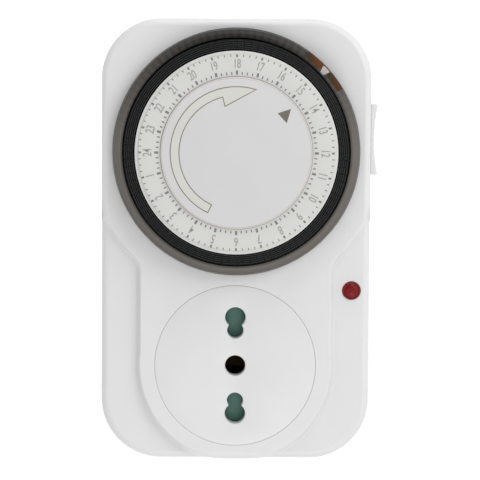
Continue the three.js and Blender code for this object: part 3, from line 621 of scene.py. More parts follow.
def housing_loop(stations=()):
    """Points of the housing's outline with their outward directions. stations are heights
    on the right side where a point must stand."""
    corner_steps, side_steps, end_steps = 26, 18, 8
    straight_x = RIGHT - CORNER
    low, high = BOTTOM + CORNER, TOP - CORNER
    loop = []

    def corner(x, z, start):
        for i in range(corner_steps + 1):
            angle = (start + 90 * i / corner_steps) * DEGREE
            way = Vector((math.cos(angle), math.sin(angle)))
            loop.append((Vector((x, z)) + way * CORNER, way))

    def straight(start, end, count, way):
        (from_x, from_z), (to_x, to_z) = start, end
        for i in range(1, count):
            x = from_x + (to_x - from_x) * i / count
            z = from_z + (to_z - from_z) * i / count
            loop.append((Vector((x, z)), Vector(way)))

    corner(straight_x, low, -90)
    heights = {round(low + (high - low) * i / side_steps, 3) for i in range(1, side_steps)}
    heights = {h for h in heights if all(abs(h - s) > 1 for s in stations)} | set(stations)
    for height in sorted(heights):
        loop.append((Vector((RIGHT, height)), Vector((1, 0))))
    corner(straight_x, high, 0)
    straight((straight_x, TOP), (-straight_x, TOP), end_steps, (0, 1))
    corner(-straight_x, high, 90)
    straight((LEFT, high), (LEFT, low), side_steps, (-1, 0))
    corner(-straight_x, low, 180)
    straight((-straight_x, BOTTOM), (straight_x, BOTTOM), end_steps, (0, -1))
    return loop


def fillet_insets(steps=6):
    return [EDGE * (1 - math.cos(math.pi / 2 * k / steps)) for k in range(steps + 1)]


def plateau_contours():
    """Lines along the plateau's edge, at several distances from it, on both sides."""
    start = math.asin((DIAL_HEIGHT - PLATEAU_SIDE_HEIGHT) / PLATEAU_DIAL_RADIUS)
    end = math.acos(PLATEAU_HALF_BRIDGE / PLATEAU_DIAL_RADIUS)
    base = arc(0, DIAL_HEIGHT, PLATEAU_DIAL_RADIUS, -start, -end, 26)
    socket_start = math.acos(PLATEAU_HALF_BRIDGE / PLATEAU_SOCKET_RADIUS)
    low = PLATEAU_SOCKET_RADIUS * math.sin(socket_start)
    high = base[-1][1]
    base += [(PLATEAU_HALF_BRIDGE, high + (low - high) * i / 24) for i in range(1, 24)]
    base += arc(0, 0, PLATEAU_SOCKET_RADIUS, socket_start, -89 * DEGREE, 60)
    lines = []
    for level in (STEP_OUT, -0.62, -0.42, -0.2, 0, 0.2, 0.42, 0.62, STEP_IN):
        line = []
        for x, z in base:
            for _ in range(4):
                slope = gradient(plateau_distance, x, z, 0.02)
                move = (level - plateau_distance(x, z)) / max(slope.length_squared, 0.3)
                x += slope.x * move
                z += slope.y * move
            if not line or math.hypot(x - line[-1][0], z - line[-1][1]) > 0.15:
                line.append((x, z))
        lines.append(line)
    return lines + [[(-x, z) for x, z in line] for line in lines]


def skin(draft, depth_at, loop, lines, holes):
    """A face drawn over the housing's outline: its height is depth_at, and holes are
    [x, z, radius, count]. Returns the outline's and each hole's point numbers in order."""
    points = []
    borders = []

    def add_line(line, closed):
        first = len(points)
        points.extend(Vector(p) for p in line)
        size = len(line)
        borders.extend((first + i, first + (i + 1) % size) for i in range(size if closed else size - 1))

    for inset in fillet_insets():
        add_line([p - way * inset for p, way in loop], True)
    for line in lines:
        add_line(line, False)
    for x, z, radius, count in holes:
        add_line(circle(x, z, radius, count), True)
    made, _, triangles, _, _, _ = delaunay_2d_cdt(points, borders, [], 0, 1e-5)

    def kept(triangle):
        centre = sum((made[i] for i in triangle), Vector((0, 0))) / 3
        if housing_inset(*centre) <= 0:
            return False
        return all(
            math.hypot(centre.x - x, centre.y - z) > radius * math.cos(math.pi / count)
            for x, z, radius, count in holes
        )

    kept_triangles = [triangle for triangle in triangles if kept(triangle)]
    used = sorted({i for triangle in kept_triangles for i in triangle})
    numbers = dict(zip(used, draft.add_points([(*made[i], depth_at(*made[i])) for i in used])))
    draft.faces.extend(tuple(numbers[i] for i in triangle) for triangle in kept_triangles)

    def around(test, x, z):
        found = [i for i in used if test(*made[i])]
        found.sort(key=lambda i: math.atan2(made[i].y - z, made[i].x - x))
        return [(numbers[i], made[i]) for i in found]

    outline = around(lambda x, z: abs(housing_inset(x, z)) < 1e-3, 0, MIDDLE_HEIGHT)
    rims = [
        around(lambda x, z, h=hole: abs(math.hypot(x - h[0], z - h[1]) - h[2]) < 1e-3, hole[0], hole[1])
        for hole in holes
    ]
    return outline, rims


def outward(point):
    """The direction straight out of the housing's outline."""
    return -gradient(housing_inset, point.x, point.y, 0.001).normalized()


def rings_from(draft, rim, levels, x=None, z=None):
    """Rings below a rim of (number, point), each drawn in by an inset, or for a round hole
    at x, z grown to a radius, at its depth."""
    loops = [[number for number, _ in rim]]
    for size, depth in levels:
        ring = []
        for _, point in rim:
            if x is None:
                moved = point - outward(point) * size
            else:
                spoke = (point - Vector((x, z))).normalized()
                moved = Vector((x, z)) + spoke * size
            ring.append((moved.x, moved.y, depth))
        loops.append(draft.add_points(ring))
    return loops


SLOT = {"low": 54.7, "high": 63.8, "back": 24.1, "front": 28.2}


def front_cover():
    draft = Draft()
    lip = 0.12
    holes = [
        (0, DIAL_HEIGHT, DIAL_OPENING + lip, 128),
        (0, 0, FACEPLATE_OPENING + lip, 128),
        (*INDICATOR, LENS_HOLE + lip, 32),
    ]
    loop = housing_loop((SLOT["low"], SLOT["high"]))
    outline, rims = skin(draft, front_depth, loop, plateau_contours(), holes)
    levels = [
        (0, SLOT["front"]), (0, SLOT["back"]), (0, PARTING + 0.35), (0.12, PARTING + 0.1),
        (0.35, PARTING), (WALL, PARTING), (WALL, SLOT["back"]), (WALL, SLOT["front"]),
        (WALL, CEILING),
    ]
    rings = rings_from(draft, outline, levels)
    # The slot for the slider lies between rings 1 and 2 outside, and 7 and 8 inside.
    slot_ends = [
        i for i, (_, p) in enumerate(outline)
        if abs(p.x - RIGHT) < 1e-3 and SLOT["low"] - 0.01 < p.y < SLOT["high"] + 0.01
    ]
    first, last = slot_ends[0], slot_ends[-1]
    count = len(outline)
    for row, (lower, upper) in enumerate(zip(rings, rings[1:])):
        for i in range(count):
            if row in (1, 7) and first <= i < last:
                continue
            j = (i + 1) % count
            draft.faces.append((lower[i], lower[j], upper[j], upper[i]))
    for outer_row, inner_row in ((1, 8), (2, 7)):
        for i in range(first, last):
            outer, inner = rings[outer_row], rings[inner_row]
            draft.faces.append((outer[i], outer[i + 1], inner[i + 1], inner[i]))
    for i in (first, last):
        draft.faces.append((rings[1][i], rings[2][i], rings[7][i], rings[8][i]))
    hole_rings = []
    for (x, z, radius, _), rim in zip(holes, rims):
        top = front_depth(x + radius, z)
        bore = radius - lip
        curve = [(bore + lip * (1 - math.sin(a)), top - lip * (1 - math.cos(a)))
                 for a in (math.pi / 6, math.pi / 3, math.pi / 2)]
        if x == 0 and z == 0:
            curve += [(bore, FACEPLATE_LEDGE - 0.3), (FACEPLATE_BOSS + 0.3, FACEPLATE_LEDGE - 0.3)]
            bore = FACEPLATE_BOSS + 0.3
        loops = rings_from(draft, rim, curve + [(bore, CEILING)], x, z)
        draft.band(loops)
        hole_rings.append(loops[-1])
    draft.flat(rings[-1], hole_rings)
    top = CEILING + 0.5
    for places, outer, bore, floor, back in (
        (CASE_SCREWS, 3, 1.6, 27.3, PARTING),
        (MOVEMENT_SCREWS, 2.4, 1.2, 29.3, 22.5),
    ):
        post = [(0, floor), (bore, floor), (bore, back), (outer, back), (outer, top), (0, top)]
        for x, z in places:
            turned(draft, post, 20, x, z, closed=False)
    draft.build(
        "front_cover_shell", HOUSING, "housing", ["front_cover"],
        normals=lambda point, facing: shell_normal(point, facing, front_depth, -1),
    )


def shell_normal(point, facing, depth_at, side):
    """The exact normal on a cover's curved outer face; side is -1 in front and 1 behind."""
    x, z, depth = point.x / MM, point.z / MM, -point.y / MM
    inset = housing_inset(x, z)
    if inset < 1e-3:
        sideways = outward(Vector((x, z)))
        is_wall = abs(facing.y) < 0.97
        reach = abs(depth - depth_at(x, z))
        return Vector((sideways.x, 0, sideways.y)) if is_wall and reach < 30 else None
    if abs(depth - depth_at(x, z)) > 1e-3 or facing.y * side < 0.02:
        return None
    slope = gradient(depth_at, x, z, min(0.02, inset * 0.5))
    if side < 0:
        return Vector((-slope.x, -1, -slope.y)).normalized()
    return Vector((slope.x, 1, slope.y)).normalized()


def rear_cover():
    draft = Draft()
    pad_radius, pin_hole = 20, 2.8
    counterbore, boss_radius, bore = 3.1, 4, 1.6
    holes = [(0, 0, pad_radius + 0.4, 96)]
    holes += [(x, z, counterbore + 0.25, 32) for x, z in CASE_SCREWS]
    outline, rims = skin(draft, rear_depth, housing_loop(), [], holes)
    levels = [
        (0, REAR_PARTING - 0.35), (0.12, REAR_PARTING - 0.1), (0.35, REAR_PARTING),
        (WALL, REAR_PARTING), (WALL, FLOOR),
    ]
    rings = rings_from(draft, outline, levels)
    draft.band(rings)
    pad_curve = [
        (pad_radius + 0.12, PAD_DEPTH - 0.12), (pad_radius, PAD_DEPTH - 0.4), (pad_radius, 0.6),
        (pad_radius - 0.1, 0.25), (pad_radius - 0.3, 0.07), (pad_radius - 0.6, 0),
    ]
    pad = rings_from(draft, rims[0], pad_curve, 0, 0)
    draft.band(pad)
    pin_tops = []
    floor_holes = []
    for height in (-PIN_SPACING, 0, PIN_SPACING):
        levels = [(pin_hole + 0.25, 0), (pin_hole + 0.05, 0.12), (pin_hole, 0.3), (pin_hole, FLOOR)]
        loops = [draft.loop(circle(0, height, radius, 32), depth) for radius, depth in levels]
        draft.band(loops)
        pin_tops.append(loops[0])
        floor_holes.append(loops[-1])
    draft.flat(pad[-1], pin_tops)
    for (x, z), rim in zip(CASE_SCREWS, rims[1:]):
        walls = [
            (counterbore + 0.05, PAD_DEPTH + 0.1), (counterbore, PAD_DEPTH + 0.3), (counterbore, FLOOR),
        ]
        loops = rings_from(draft, rim, walls, x, z)
        draft.band(loops)
        floor_holes.append(loops[-1])
        boss = [
            (counterbore + 0.05, FLOOR - 0.2), (boss_radius, FLOOR - 0.2), (boss_radius, REAR_PARTING),
            (bore, REAR_PARTING), (bore, FLOOR + 1), (counterbore, FLOOR + 1),
        ]
        turned(draft, boss, 32, x, z)
    draft.flat(rings[-1], floor_holes)
    draft.build(
        "rear_cover_shell", HOUSING, "housing", ["rear_cover"],
        normals=lambda point, facing: shell_normal(point, facing, rear_depth, 1),
    )


# ---------------------------------------------------------------------------------------
# Socket


def keyhole(x, side):
    """Outline of a large and a small pin hole that run into each other."""
    def outline(grow):
        big, small = PIN_HOLE + grow, NARROW_HOLE + grow
        apart = PIN_SPACING - NARROW_SPACING
        reach = (big * big - small * small + apart * apart) / (2 * apart)
        big_half = math.acos(reach / big)
        small_half = math.acos((apart - reach) / small)
        towards = -90 * DEGREE * side
        big_arc = arc(x, side * PIN_SPACING, big, towards + big_half, towards + TURN - big_half, 26)
        small_arc = arc(
            x, side * NARROW_SPACING, small,
            towards + math.pi + small_half, towards + 3 * math.pi - small_half, 20,
        )
        return big_arc + small_arc[1:-1]
    return outline


def round_hole(x, z, radius, count=32):
    return lambda grow: circle(x, z, radius + grow, count)


def soft_rim(size):
    """Steps of a rounded edge: how far back from the face's edge, and below the face."""
    return [(0, size), (0.13 * size, 0.5 * size), (0.5 * size, 0.13 * size), (size, 0)]


def socket_plate():
    draft = Draft()
    profile = [
        (FACEPLATE_BOSS, FACEPLATE_BACK), (FACEPLATE_BOSS, FACEPLATE_LEDGE),
        (PLATE_EDGE, FACEPLATE_LEDGE),
    ]
    profile += [(PLATE_EDGE - shift, PLATEAU - drop) for shift, drop in soft_rim(0.08)]
    loops = [draft.loop(circle(0, 0, radius, 128), depth) for radius, depth in profile]
    draft.band(loops)
    levels = [(0, FACEPLATE_BACK)] + [(grow, PLATEAU - drop) for grow, drop in soft_rim(0.3)]
    backs, fronts = [], []
    for opening in (keyhole(0, 1), keyhole(0, -1), round_hole(0, 0, PIN_HOLE)):
        walls = [draft.loop(opening(grow), depth) for grow, depth in levels]
        draft.band(walls)
        backs.append(walls[0])
        fronts.append(walls[-1])
    draft.flat(loops[0], backs)
    draft.flat(loops[-1], fronts)
    draft.build("socket_plate", PLATE, "housing", ["socket_faceplate"])


SHUTTER_TRAVEL = 6.5


def shutter_plate():
    draft = Draft()
    left, right, low, high, back, front = edges("safety_shutter")
    window = 0.4

    def outline(inset):
        return rounded_rectangle(left, right, low, high, 1.2, inset)

    def earth_slot(grow):
        radius = PIN_HOLE + window + grow
        start, end = 90 * DEGREE, 270 * DEGREE
        return arc(0, 0, radius, start, end, 14) + arc(SHUTTER_TRAVEL, 0, radius, -start, start, 14)

    def grown(shape):
        return lambda grow: shape(grow + window)

    windows = [grown(keyhole(SHUTTER_TRAVEL, 1)), grown(keyhole(SHUTTER_TRAVEL, -1)), earth_slot]
    slab(draft, outline, back, front, 0.2, 2, windows)
    draft.build("shutter_plate", SHUTTER, "shutter", ["safety_shutter"])


def shutter_spring():
    """A coil spring of round wire between the carrier's wall and the shutter."""
    draft = Draft()
    left, right, low, high, back, front = edges("shutter_spring")
    middle_z, middle_depth = (low + high) / 2, (back + front) / 2
    wire = 0.11
    coil = min(high - low, front - back) / 2 - wire
    turns, steps, sides = 11, 20, 8
    count = turns * steps
    rings = []
    for i in range(count + 1):
        angle = TURN * i / steps
        x = left + wire + (right - left - 2 * wire) * i / count
        ring = []
        for side in range(sides):
            around = TURN * side / sides
            reach = coil + wire * math.cos(around)
            ring.append((
                x + wire * math.sin(around),
                middle_z + reach * math.sin(angle),
                middle_depth + reach * math.cos(angle),
            ))
        rings.append(draft.add_points(ring))
    draft.rod(rings)
    spring = draft.build("shutter_coil", STEEL, "housing", ["shutter_spring"], angle=60)
    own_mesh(spring)


# ---------------------------------------------------------------------------------------
# Dial


def bezel():
    draft = Draft()
    profile = rounded(
        [
            (BEZEL_BORE, BEZEL_BACK, 0.1), (BEZEL_SKIRT, BEZEL_BACK, 0.1),
            (BEZEL_SKIRT, PLATEAU + 0.3, 0.05), (BEZEL_OUTER, PLATEAU + 0.3, 0.1),
            (BEZEL_OUTER, 38.6, 0.25), (32.5, 40.6, 1.2), (31.4, BEZEL_FRONT, 1.0),
            (BEZEL_BORE, BEZEL_FRONT - 0.1, 0.15),
        ],
        0.2, 5, closed=True,
    )
    turned(draft, profile, 192, 0, DIAL_HEIGHT)
    draft.build("bezel_ring_smoked", SMOKED, "housing", ["bezel_ring"])


POINTER_ANGLE = 43.2 * DEGREE


def pointer():
    """The white wedge in the bezel that shows the time."""
    draft = Draft()
    front = edges("time_pointer")[5]

    def outline(inset):
        half = 2.1 * DEGREE - inset / 32.6
        tip_half = 1.1 * DEGREE - inset / 30.8
        outer, inner = 32.5 - inset, 30.6 + inset
        return [
            dial_point(inner, POINTER_ANGLE - tip_half),
            dial_point(outer - 0.3, POINTER_ANGLE - half),
            dial_point(outer, POINTER_ANGLE - half * 0.8),
            dial_point(outer, POINTER_ANGLE + half * 0.8),
            dial_point(outer - 0.3, POINTER_ANGLE + half),
            dial_point(inner, POINTER_ANGLE + tip_half),
        ]
    slab(draft, outline, 38.2, front, 0.12, 2)
    draft.build("time_wedge", WEDGE, "housing", ["time_pointer"])


def markers():
    """The coloured pieces in the bezel on both sides of the wedge."""
    for name, material, start, end in (
        ("marker_after", ORANGE, 45.4, 54.5),
        ("marker_before", BROWN, 31.4, 40.7),
    ):
        draft = Draft()

        def outline(inset, start=start, end=end):
            trim = inset / 31.8
            first, last = start * DEGREE + trim, end * DEGREE - trim
            outer = [dial_point(32.7 - inset, first + (last - first) * i / 6) for i in range(7)]
            inner = [dial_point(31.0 + inset, last + (first - last) * i / 6) for i in range(7)]
            return outer + inner
        slab(draft, outline, 38.3, BEZEL_FRONT - 0.05, 0.1, 2)
        names = ["pointer_backing"] if name == "marker_after" else []
        draft.build(name, material, "housing", names)


def tripper_profile():
    """Cross-section of a tripper: fine ridges that step down towards the bezel."""
    width = RIDGE_WIDTH
    top = TRIPPER_FRONT
    profile = [(TRIPPER_OUTER, TRIPPER_BACK), (TRIPPER_INNER, TRIPPER_BACK)]
    for ridge in range(RIDGES):
        inner = TRIPPER_INNER + width * ridge
        level = top - 0.26 * ridge
        groove = 0.16
        if ridge:
            profile.append((inner + 0.02, level - groove))
        profile.append((inner + 0.06, level - 0.03))
        profile.append((inner + 0.14, level))
        profile.append((inner + width - 0.12, level))
        profile.append((inner + width - 0.03, level - 0.05))
        profile.append((inner + width, level - groove - 0.2))
    profile[-1] = (TRIPPER_OUTER, profile[-1][1])
    return profile


def tripper_segment(draft, index):
    """One tripper, between its two gaps."""
    trim = TRIPPER_GAP / 2 / TRIPPER_OUTER
    start = OPEN_SECTOR + index * TRIPPER_PITCH + trim
    end = OPEN_SECTOR + (index + 1) * TRIPPER_PITCH - trim
    profile = tripper_profile()
    bevel = 0.04
    turn = bevel / TRIPPER_OUTER
    third = (end - start) * 0.33
    stations = (
        (start, bevel), (start + turn, 0), (start + third, 0),
        (end - third, 0), (end - turn, 0), (end, bevel),
    )
    draft.rod([
        draft.add_points([(*dial_point(radius, angle), depth - inset) for radius, depth in profile])
        for angle, inset in stations
    ])


def trippers():
    joined = Draft()
    for index in range(LOOSE_TRIPPERS, TRIPPER_COUNT):
        tripper_segment(joined, index)
    joined.build("tripper_set", TRIPPER, "dial", ["tripper_ring"], angle=28)
    for index in range(LOOSE_TRIPPERS):
        draft = Draft()
        tripper_segment(draft, index)
        name = f"tripper_{index + 1}"
        draft.build(f"segment_{index + 1}", TRIPPER, name, [name], angle=28)


def number_ring():
    draft = Draft()
    profile = rounded(
        [
            (NUMBER_BORE, NUMBER_BACK), (NUMBER_OUTER, NUMBER_BACK), (NUMBER_OUTER, RIM_TOP, 0.2),
            (LABEL_OUTER, RIM_TOP, 0.05), (LABEL_OUTER, LABEL_TOP - 0.3, 0.02),
            (LABEL_OUTER - 0.14, LABEL_TOP - 0.3, 0.02), (LABEL_OUTER - 0.14, LABEL_TOP, 0.03),
            (NUMBER_BORE, LABEL_TOP, 0.12),
        ],
        0.08, 3, closed=True,
    )
    turned(draft, profile, 160, 0, DIAL_HEIGHT)
    draft.build("number_ring_white", DIAL, "dial", ["number_ring"])


def bar(draft, radius, angle, length, width, base, top):
    """A printed radial mark."""
    along = Vector((math.cos(angle), math.sin(angle)))
    across = Vector((-along.y, along.x))
    centre = Vector((0, DIAL_HEIGHT)) + along * radius
    corners = [
        centre + along * (length / 2) * a + across * (width / 2) * b
        for a, b in ((-1, -1), (1, -1), (1, 1), (-1, 1))
    ]
    draft.rod([draft.loop(corners, depth) for depth in (base, top)])


def dial_ticks():
    draft = Draft()
    base, top = LABEL_TOP - 0.02, LABEL_TOP + PRINT_HEIGHT
    for index in range(TRIPPER_COUNT):
        bold = index % 4 == 0
        angle = index * TRIPPER_PITCH
        if bold:
            bars = ((21.1, 1.05, 0.6), (25.45, 0.75, 0.5))
        else:
            bars = ((20.9, 0.7, 0.32), (25.5, 0.6, 0.24))
        for radius, length, width in bars:
            bar(draft, radius, angle, length, width, base, top)
    draft.build("dial_ticks", TICKS, "dial")


def dial_figures():
    """The hours 1 to 24, with their tops outwards."""
    joined = bmesh.new()
    for hour in range(1, 25):
        text = bpy.data.curves.new(f"hour_{hour}", "FONT")
        text.body = str(hour)
        text.size = FIGURE_HEIGHT * MM
        text.align_x = "CENTER"
        text.align_y = "CENTER"
        text.extrude = 0.02 * MM
        text.offset = 0.03 * MM
        text.space_character = 0.92
        text.resolution_u = 3
        figure = shown(f"hour_{hour}", text)
        bpy.context.view_layer.update()
        evaluated = figure.evaluated_get(bpy.context.evaluated_depsgraph_get())
        mesh = bpy.data.meshes.new_from_object(evaluated)
        angle = (hour - 12) * 15 * DEGREE
        upright = Matrix.Rotation(math.pi / 2, 4, "X")
        turn = Matrix.Rotation(math.pi / 2 - angle, 4, "Y")
        squeeze = Matrix.Diagonal((FIGURE_SQUEEZE, 1, 1, 1))
        shift = Matrix.Translation(place(*dial_point(FIGURE_RADIUS, angle), LABEL_TOP + 0.01))
        mesh.transform(shift @ turn @ upright @ squeeze)
        joined.from_mesh(mesh)
        bpy.data.objects.remove(figure)
        bpy.data.curves.remove(text)
        bpy.data.meshes.remove(mesh)
    bmesh.ops.remove_doubles(joined, verts=joined.verts, dist=1e-7)
    mesh = bpy.data.meshes.new("dial_figures")
    joined.to_mesh(mesh)
    joined.free()
    mesh.materials.append(FIGURES)
    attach(shown("dial_figures", mesh), "dial")


def centre_disc():
    draft = Draft()
    profile = rounded(
        [
            (0, 45.3), (3.3, 45.3), (3.3, DISC_BACK), (DISC_RADIUS, DISC_BACK),
            (DISC_RADIUS, DISC_FACE, 0.25), (0, DISC_FACE),
        ],
        0.05, 4,
    )
    turned(draft, profile, 160, 0, DIAL_HEIGHT, closed=False)
    draft.build("centre_disc_white", DISC, "housing", ["centre_disc"])


def arrow_outline():
    """Corners of the turning arrow on the centre disc: two arcs, a tail and a one-sided head."""
    tail, tip, barb = 244.5 * DEGREE, 73.2 * DEGREE, 104.2 * DEGREE
    steps = 60
    outer = [dial_point(17.4, tip + (tail - tip) * i / steps) for i in range(steps + 1)]
    inner = [dial_point(15.1, tail + (barb - tail) * i / steps) for i in range(steps + 1)]
    return outer + inner + [dial_point(12.6, barb)]


def offset_loop(points, distance):
    """A closed loop moved sideways, with mitred corners."""
    moved = []
    count = len(points)
    for i in range(count):
        before = Vector(points[i]) - Vector(points[i - 1])
        after = Vector(points[(i + 1) % count]) - Vector(points[i])
        left = [Vector((-way.y, way.x)).normalized() for way in (before, after)]
        mitre = (left[0] + left[1]).normalized()
        reach = distance / max(mitre.dot(left[0]), 0.45)
        moved.append(tuple(Vector(points[i]) + mitre * reach))
    return moved


def centre_print():
    """The arrow, the line round the disc and the index mark."""
    base, ink_top, filling_top = DISC_FACE - 0.02, DISC_FACE + 0.02, DISC_FACE + 0.008
    corners = arrow_outline()
    outline = Draft()
    wide, narrow = (offset_loop(corners, side * 0.13) for side in (1, -1))
    loops = [
        outline.loop(rim, depth)
        for rim, depth in ((wide, base), (wide, ink_top), (narrow, ink_top), (narrow, base))
    ]
    outline.band(loops + [loops[0]])
    outline.build("arrow_line", ARROW_INK, "housing")
    filling = Draft()
    inner = [filling.loop(corners, depth) for depth in (base, filling_top)]
    filling.band(inner)
    for loop in inner:
        filling.flat(loop)
    filling.build("arrow_filling", CREAM, "housing")
    edge = Draft()
    line_out, line_in = DISC_RADIUS - 0.28, DISC_RADIUS - 0.4
    line = [(line_in, base), (line_out, base), (line_out, ink_top), (line_in, ink_top)]
    turned(edge, line, 160, 0, DIAL_HEIGHT)
    edge.build("edge_line", EDGE_INK, "housing")
    index = Draft()
    triangle = [
        dial_point(radius, angle * DEGREE)
        for radius, angle in ((18.4, 39.3), (15.0, 44.4), (15.3, 31.1))
    ]
    index.rod([index.loop(triangle, depth) for depth in (base, ink_top)])
    index.build("index_mark", INDEX_INK, "housing")


# ---------------------------------------------------------------------------------------
# Small pieces


def lens():
    draft = Draft()
    x, z = INDICATOR
    back, front = edges("indicator_lens")[4:]
    profile = [
        (0, back), (LENS_RADIUS - 0.2, back), (LENS_RADIUS, back + 0.2), (LENS_RADIUS, 35.1),
        (2.36, 35.3), (2.25, 35.45), (2.0, 35.45), (1.9, 35.4), (1.75, 35.55),
    ]
    dome_radius, dome_base = 1.7, 35.5
    profile += [
        (dome_radius * math.cos(a), dome_base + (front - dome_base) * math.sin(a))
        for a in (math.pi / 2 * k / 6 for k in range(1, 6))
    ]
    turned(draft, profile + [(0, front)], 48, x, z, closed=False)
    draft.build("indicator_dome", LENS, "housing", ["indicator_lens"], angle=50)


def side_slider():
    """The thumb slider: a cap with cross grooves, a stem and an inner flange."""
    draft = Draft()
    low, high = edges("side_switch")[2:4]
    end = edges("side_switch")[1]
    back, front = 20.5, 31.5
    root, hollow = 36.3, 0.9
    middle = (low + high) / 2
    half = (high - low) / 2
    rows = 66

    def surface(z):
        share = (z - middle) / half
        level = end - hollow * (1 - share * share)
        ridge = 0.05 * math.cos((z - middle) * TURN / 1.5) + 0.05 if abs(share) < 0.62 else 0.1
        edge = max(0, abs(share) - 0.94) / 0.06
        return level - 0.1 + ridge - 0.2 * edge * edge

    heights = [low + (high - low) * i / rows for i in range(rows + 1)]
    section = [(back, 0.45), (back + 0.12, 0.12), (back + 0.45, 0), (front - 0.45, 0),
               (front - 0.12, 0.12), (front, 0.45)]
    rings = []
    for z in heights:
        level = surface(z)
        ring = [(root, z, back)] + [(level - drop, z, depth) for depth, drop in section]
        rings.append(draft.add_points(ring + [(root, z, front)]))
    draft.rod(rings)
    # The stem through the slot, and the flange that holds it inside.
    for left, right, low_z, high_z, back_d, front_d in (
        (32.4, root + 0.1, 58, 63.5, 24.4, 27.9),
        (32.4, 33.7, 56.8, 64.7, 23.2, 29.1),
    ):
        def outline(inset, a=left, b=right, c=low_z, d=high_z):
            return rounded_rectangle(a, b, c, d, 0.35, inset, 3)
        slab(draft, outline, back_d, front_d, 0.15, 2)
    draft.build("side_slider", HOUSING, "override_slider", ["side_switch"], angle=40)


def cross_recess(x, z, arm, half, spin):
    """A plus-shaped outline."""
    corners = [
        (arm, -half), (arm, half), (half, half), (half, arm), (-half, arm), (-half, half),
        (-arm, half), (-arm, -half), (-half, -half), (-half, -arm), (half, -arm), (half, -half),
    ]
    return [
        (x + a * math.cos(spin) - b * math.sin(spin), z + a * math.sin(spin) + b * math.cos(spin))
        for a, b in corners
    ]


def screw(name, x, z, head, shank, head_back, head_front, tip, spin):
    """A pan head screw driven in from behind, with a cross recess and grooves for a thread."""
    draft = Draft()
    crown = [(head - 0.45, head_back), (head - 0.15, head_back + 0.15), (head, head_back + 0.5)]
    body = [(head, head_front), (shank, head_front)]
    pitch, groove, sides = 0.6, 0.22, 24
    count = int((tip - 1 - head_front - 0.4) / pitch)
    for i in range(count):
        start = head_front + 0.4 + i * pitch
        body += [(shank, start), (shank - groove, start + groove), (shank - groove, start + 0.34)]
    body += [(shank, tip - 1), (shank * 0.35, tip)]
    loops = [draft.loop(circle(x, z, radius, sides), depth) for radius, depth in crown + body]
    draft.band(loops)
    point = draft.loop([(x, z)], tip)[0]
    for i in range(sides):
        draft.faces.append((point, loops[-1][i], loops[-1][(i + 1) % sides]))
    recess_floor = min(head_back + 0.8, head_front - 0.3)
    top = draft.loop(cross_recess(x, z, head * 0.55, head * 0.13, spin), head_back)
    floor = draft.loop(cross_recess(x, z, head * 0.4, head * 0.1, spin), recess_floor)
    draft.band([top, floor])
    draft.flat(loops[0], [top])
    draft.flat(floor)
    draft.build(f"{name}_fine", STEEL, "housing", [name], angle=40)


def screws():
    for index, (x, z) in enumerate(CASE_SCREWS):
        screw(f"case_screw_{index + 1}", x, z, 2.8, 1.3, 4, 5.7, 27, 0.3 + index)
    for index, (x, z) in enumerate(MOVEMENT_SCREWS):
        back, tip = edges(f"movement_screw_{index + 1}")[4:]
        screw(f"movement_screw_{index + 1}", x, z, 1.8, 0.9, back, back + 1.3, tip, 0.8 + index)


def pins():
    sleeve_end, sleeve_front, radius, nose_round = 10, 4.8, 2.5, 1.6
    for name, height, sleeved in (
        ("line_pin", PIN_SPACING, True), ("earth_pin", 0, False), ("neutral_pin", -PIN_SPACING, True),
    ):
        back, front = edges(name)[4:]
        neck = -sleeve_end - 0.3 if sleeved else FLOOR
        waist = 1.9 if sleeved else radius
        nose = [(radius * math.sin(a), back + nose_round - nose_round * math.cos(a))
                for a in (math.pi / 2 * k / 8 for k in range(9))]
        flat_nose = [(0, back)] + [(max(r, 1.1), d) for r, d in nose[1:] if r > 1.0]
        profile = flat_nose + [
            (radius, neck - 0.1), (2.4, neck), (waist, neck), (waist, 5.3), (4, 5.3), (4, 7.5),
            (1.9, 7.5), (1.9, front - 0.2), (1.7, front), (0, front),
        ]
        draft = Draft()
        turned(draft, profile, 40, 0, height, closed=False)
        draft.build(f"{name}_fine", NICKEL, "housing", [name])
    for name, height in (("line_pin_sleeve", PIN_SPACING), ("neutral_pin_sleeve", -PIN_SPACING)):
        draft = Draft()
        profile = rounded(
            [(2.2, -sleeve_end), (radius, -sleeve_end), (radius, sleeve_front), (2.2, sleeve_front)],
            0.08, 2, closed=True,
        )
        turned(draft, profile, 40, 0, height)
        draft.build(f"{name}_fine", CARRIER, "housing", [name])


CARRIED_OVER = {
    CARRIER: ["contact_carrier", "movement_plate"],
    BRASS: ["line_contact", "neutral_contact", "moving_contact", "fixed_contact"],
    DULL_SHADED_BRASS: ["earth_contact"],
    GEAR: ["dial_wheel", "motor_pinion", "gear_1", "gear_2", "follower_lever", "override_link"],
    STEEL: ["dial_spindle", "motor_can", "gear_1_arbor", "gear_2_arbor", "lever_pivot"],
    GLASS: ["neon_lamp"],
    CERAMIC: ["lamp_resistor"],
    WIRE: ["line_feed_wire", "switched_line_wire"],
}


def dress_cad_nodes():
    """The inner pieces keep their CAD shape, with soft edges and their own materials."""
    for material, names in CARRIED_OVER.items():
        for name in names:
            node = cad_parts[name]
            node.data.materials.clear()
            node.data.materials.append(material)
            soften = node.modifiers.new("soft_edges", "BEVEL")
            soften.width = 0.08 * MM
            soften.segments = 2
            soften.limit_method = "ANGLE"
            soften.angle_limit = 40 * DEGREE
            soften.use_clamp_overlap = True


# ---------------------------------------------------------------------------------------
# Studio


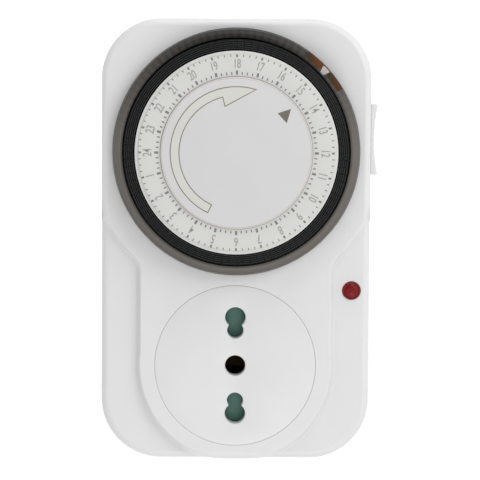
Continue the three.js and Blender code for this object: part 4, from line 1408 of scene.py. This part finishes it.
def studio():
    reach, drop = 9.0, -0.9
    corners = [(x * reach, y * reach, drop) for x, y in ((-1, -1), (1, -1), (1, 1), (-1, 1))]
    mesh = bpy.data.meshes.new("floor")
    mesh.from_pydata(corners, [], [(0, 1, 2, 3)])
    pale, _ = shader(
        "pale_floor", Base_Color=(0.97, 0.97, 0.97, 1), Roughness=0.9,
        Emission_Color=(1, 1, 1, 1), Emission_Strength=0.12,
    )
    mesh.materials.append(pale)
    shown("floor", mesh)

    world = bpy.data.worlds.new("studio")
    world.use_nodes = True
    bpy.context.scene.world = world
    where = add(world, "ShaderNodeTexCoord").outputs["Generated"]
    way = add(world, "ShaderNodeSeparateXYZ", Vector=where).outputs
    high = mapped(world, way["Z"], 0.0, 1.0, start=0.2, end=0.5)
    ahead = mapped(world, way["Y"], 1.0, 0.0, start=-0.5, end=0.0)
    dimmed = maths(world, "MULTIPLY", maths(world, "MULTIPLY", high, ahead), 0.56)
    sky = maths(world, "SUBTRACT", 1.0, dimmed)
    feed(world, world.node_tree.nodes["Background"], Strength=1.1, Color=sky)

    for name, spot, size, power in (
        ("key", (0.62, -0.6, 0.5), 0.45, 3.0),
        ("fill", (0.1, -0.55, -0.4), 0.35, 1.0),
        ("top", (0.1, -0.2, 0.7), 0.4, 1.7),
    ):
        data = bpy.data.lights.new(name, "AREA")
        data.size = size
        data.energy = power
        lamp = shown(name, data)
        lamp.location = spot
        aim = Vector((0, -0.03, 0.035)) - Vector(spot)
        lamp.rotation_euler = aim.to_track_quat("-Z", "Y").to_euler()

    view = bpy.context.scene.view_settings
    view.view_transform = "Standard"
    view.look = "None"


def camera():
    data = bpy.data.cameras.new("camera")
    data.lens = 151.8
    data.sensor_width = 36
    data.shift_y = -0.083
    data.clip_start = 0.01
    data.clip_end = 50
    eye = shown("camera", data)
    spot = Matrix.Translation((-0.003, -0.5768, 0.0787))
    pan = Matrix.Rotation(-0.43 * DEGREE, 4, "Z")
    tilt = Matrix.Rotation((90 - 3.62) * DEGREE, 4, "X")
    roll = Matrix.Rotation(0.35 * DEGREE, 4, "Z")
    eye.matrix_world = spot @ pan @ tilt @ roll
    bpy.context.scene.camera = eye


studio()
camera()
front_cover()
rear_cover()
socket_plate()
shutter_plate()
shutter_spring()
bezel()
pointer()
markers()
trippers()
number_ring()
dial_ticks()
dial_figures()
centre_disc()
centre_print()
lens()
side_slider()
screws()
pins()
dress_cad_nodes()
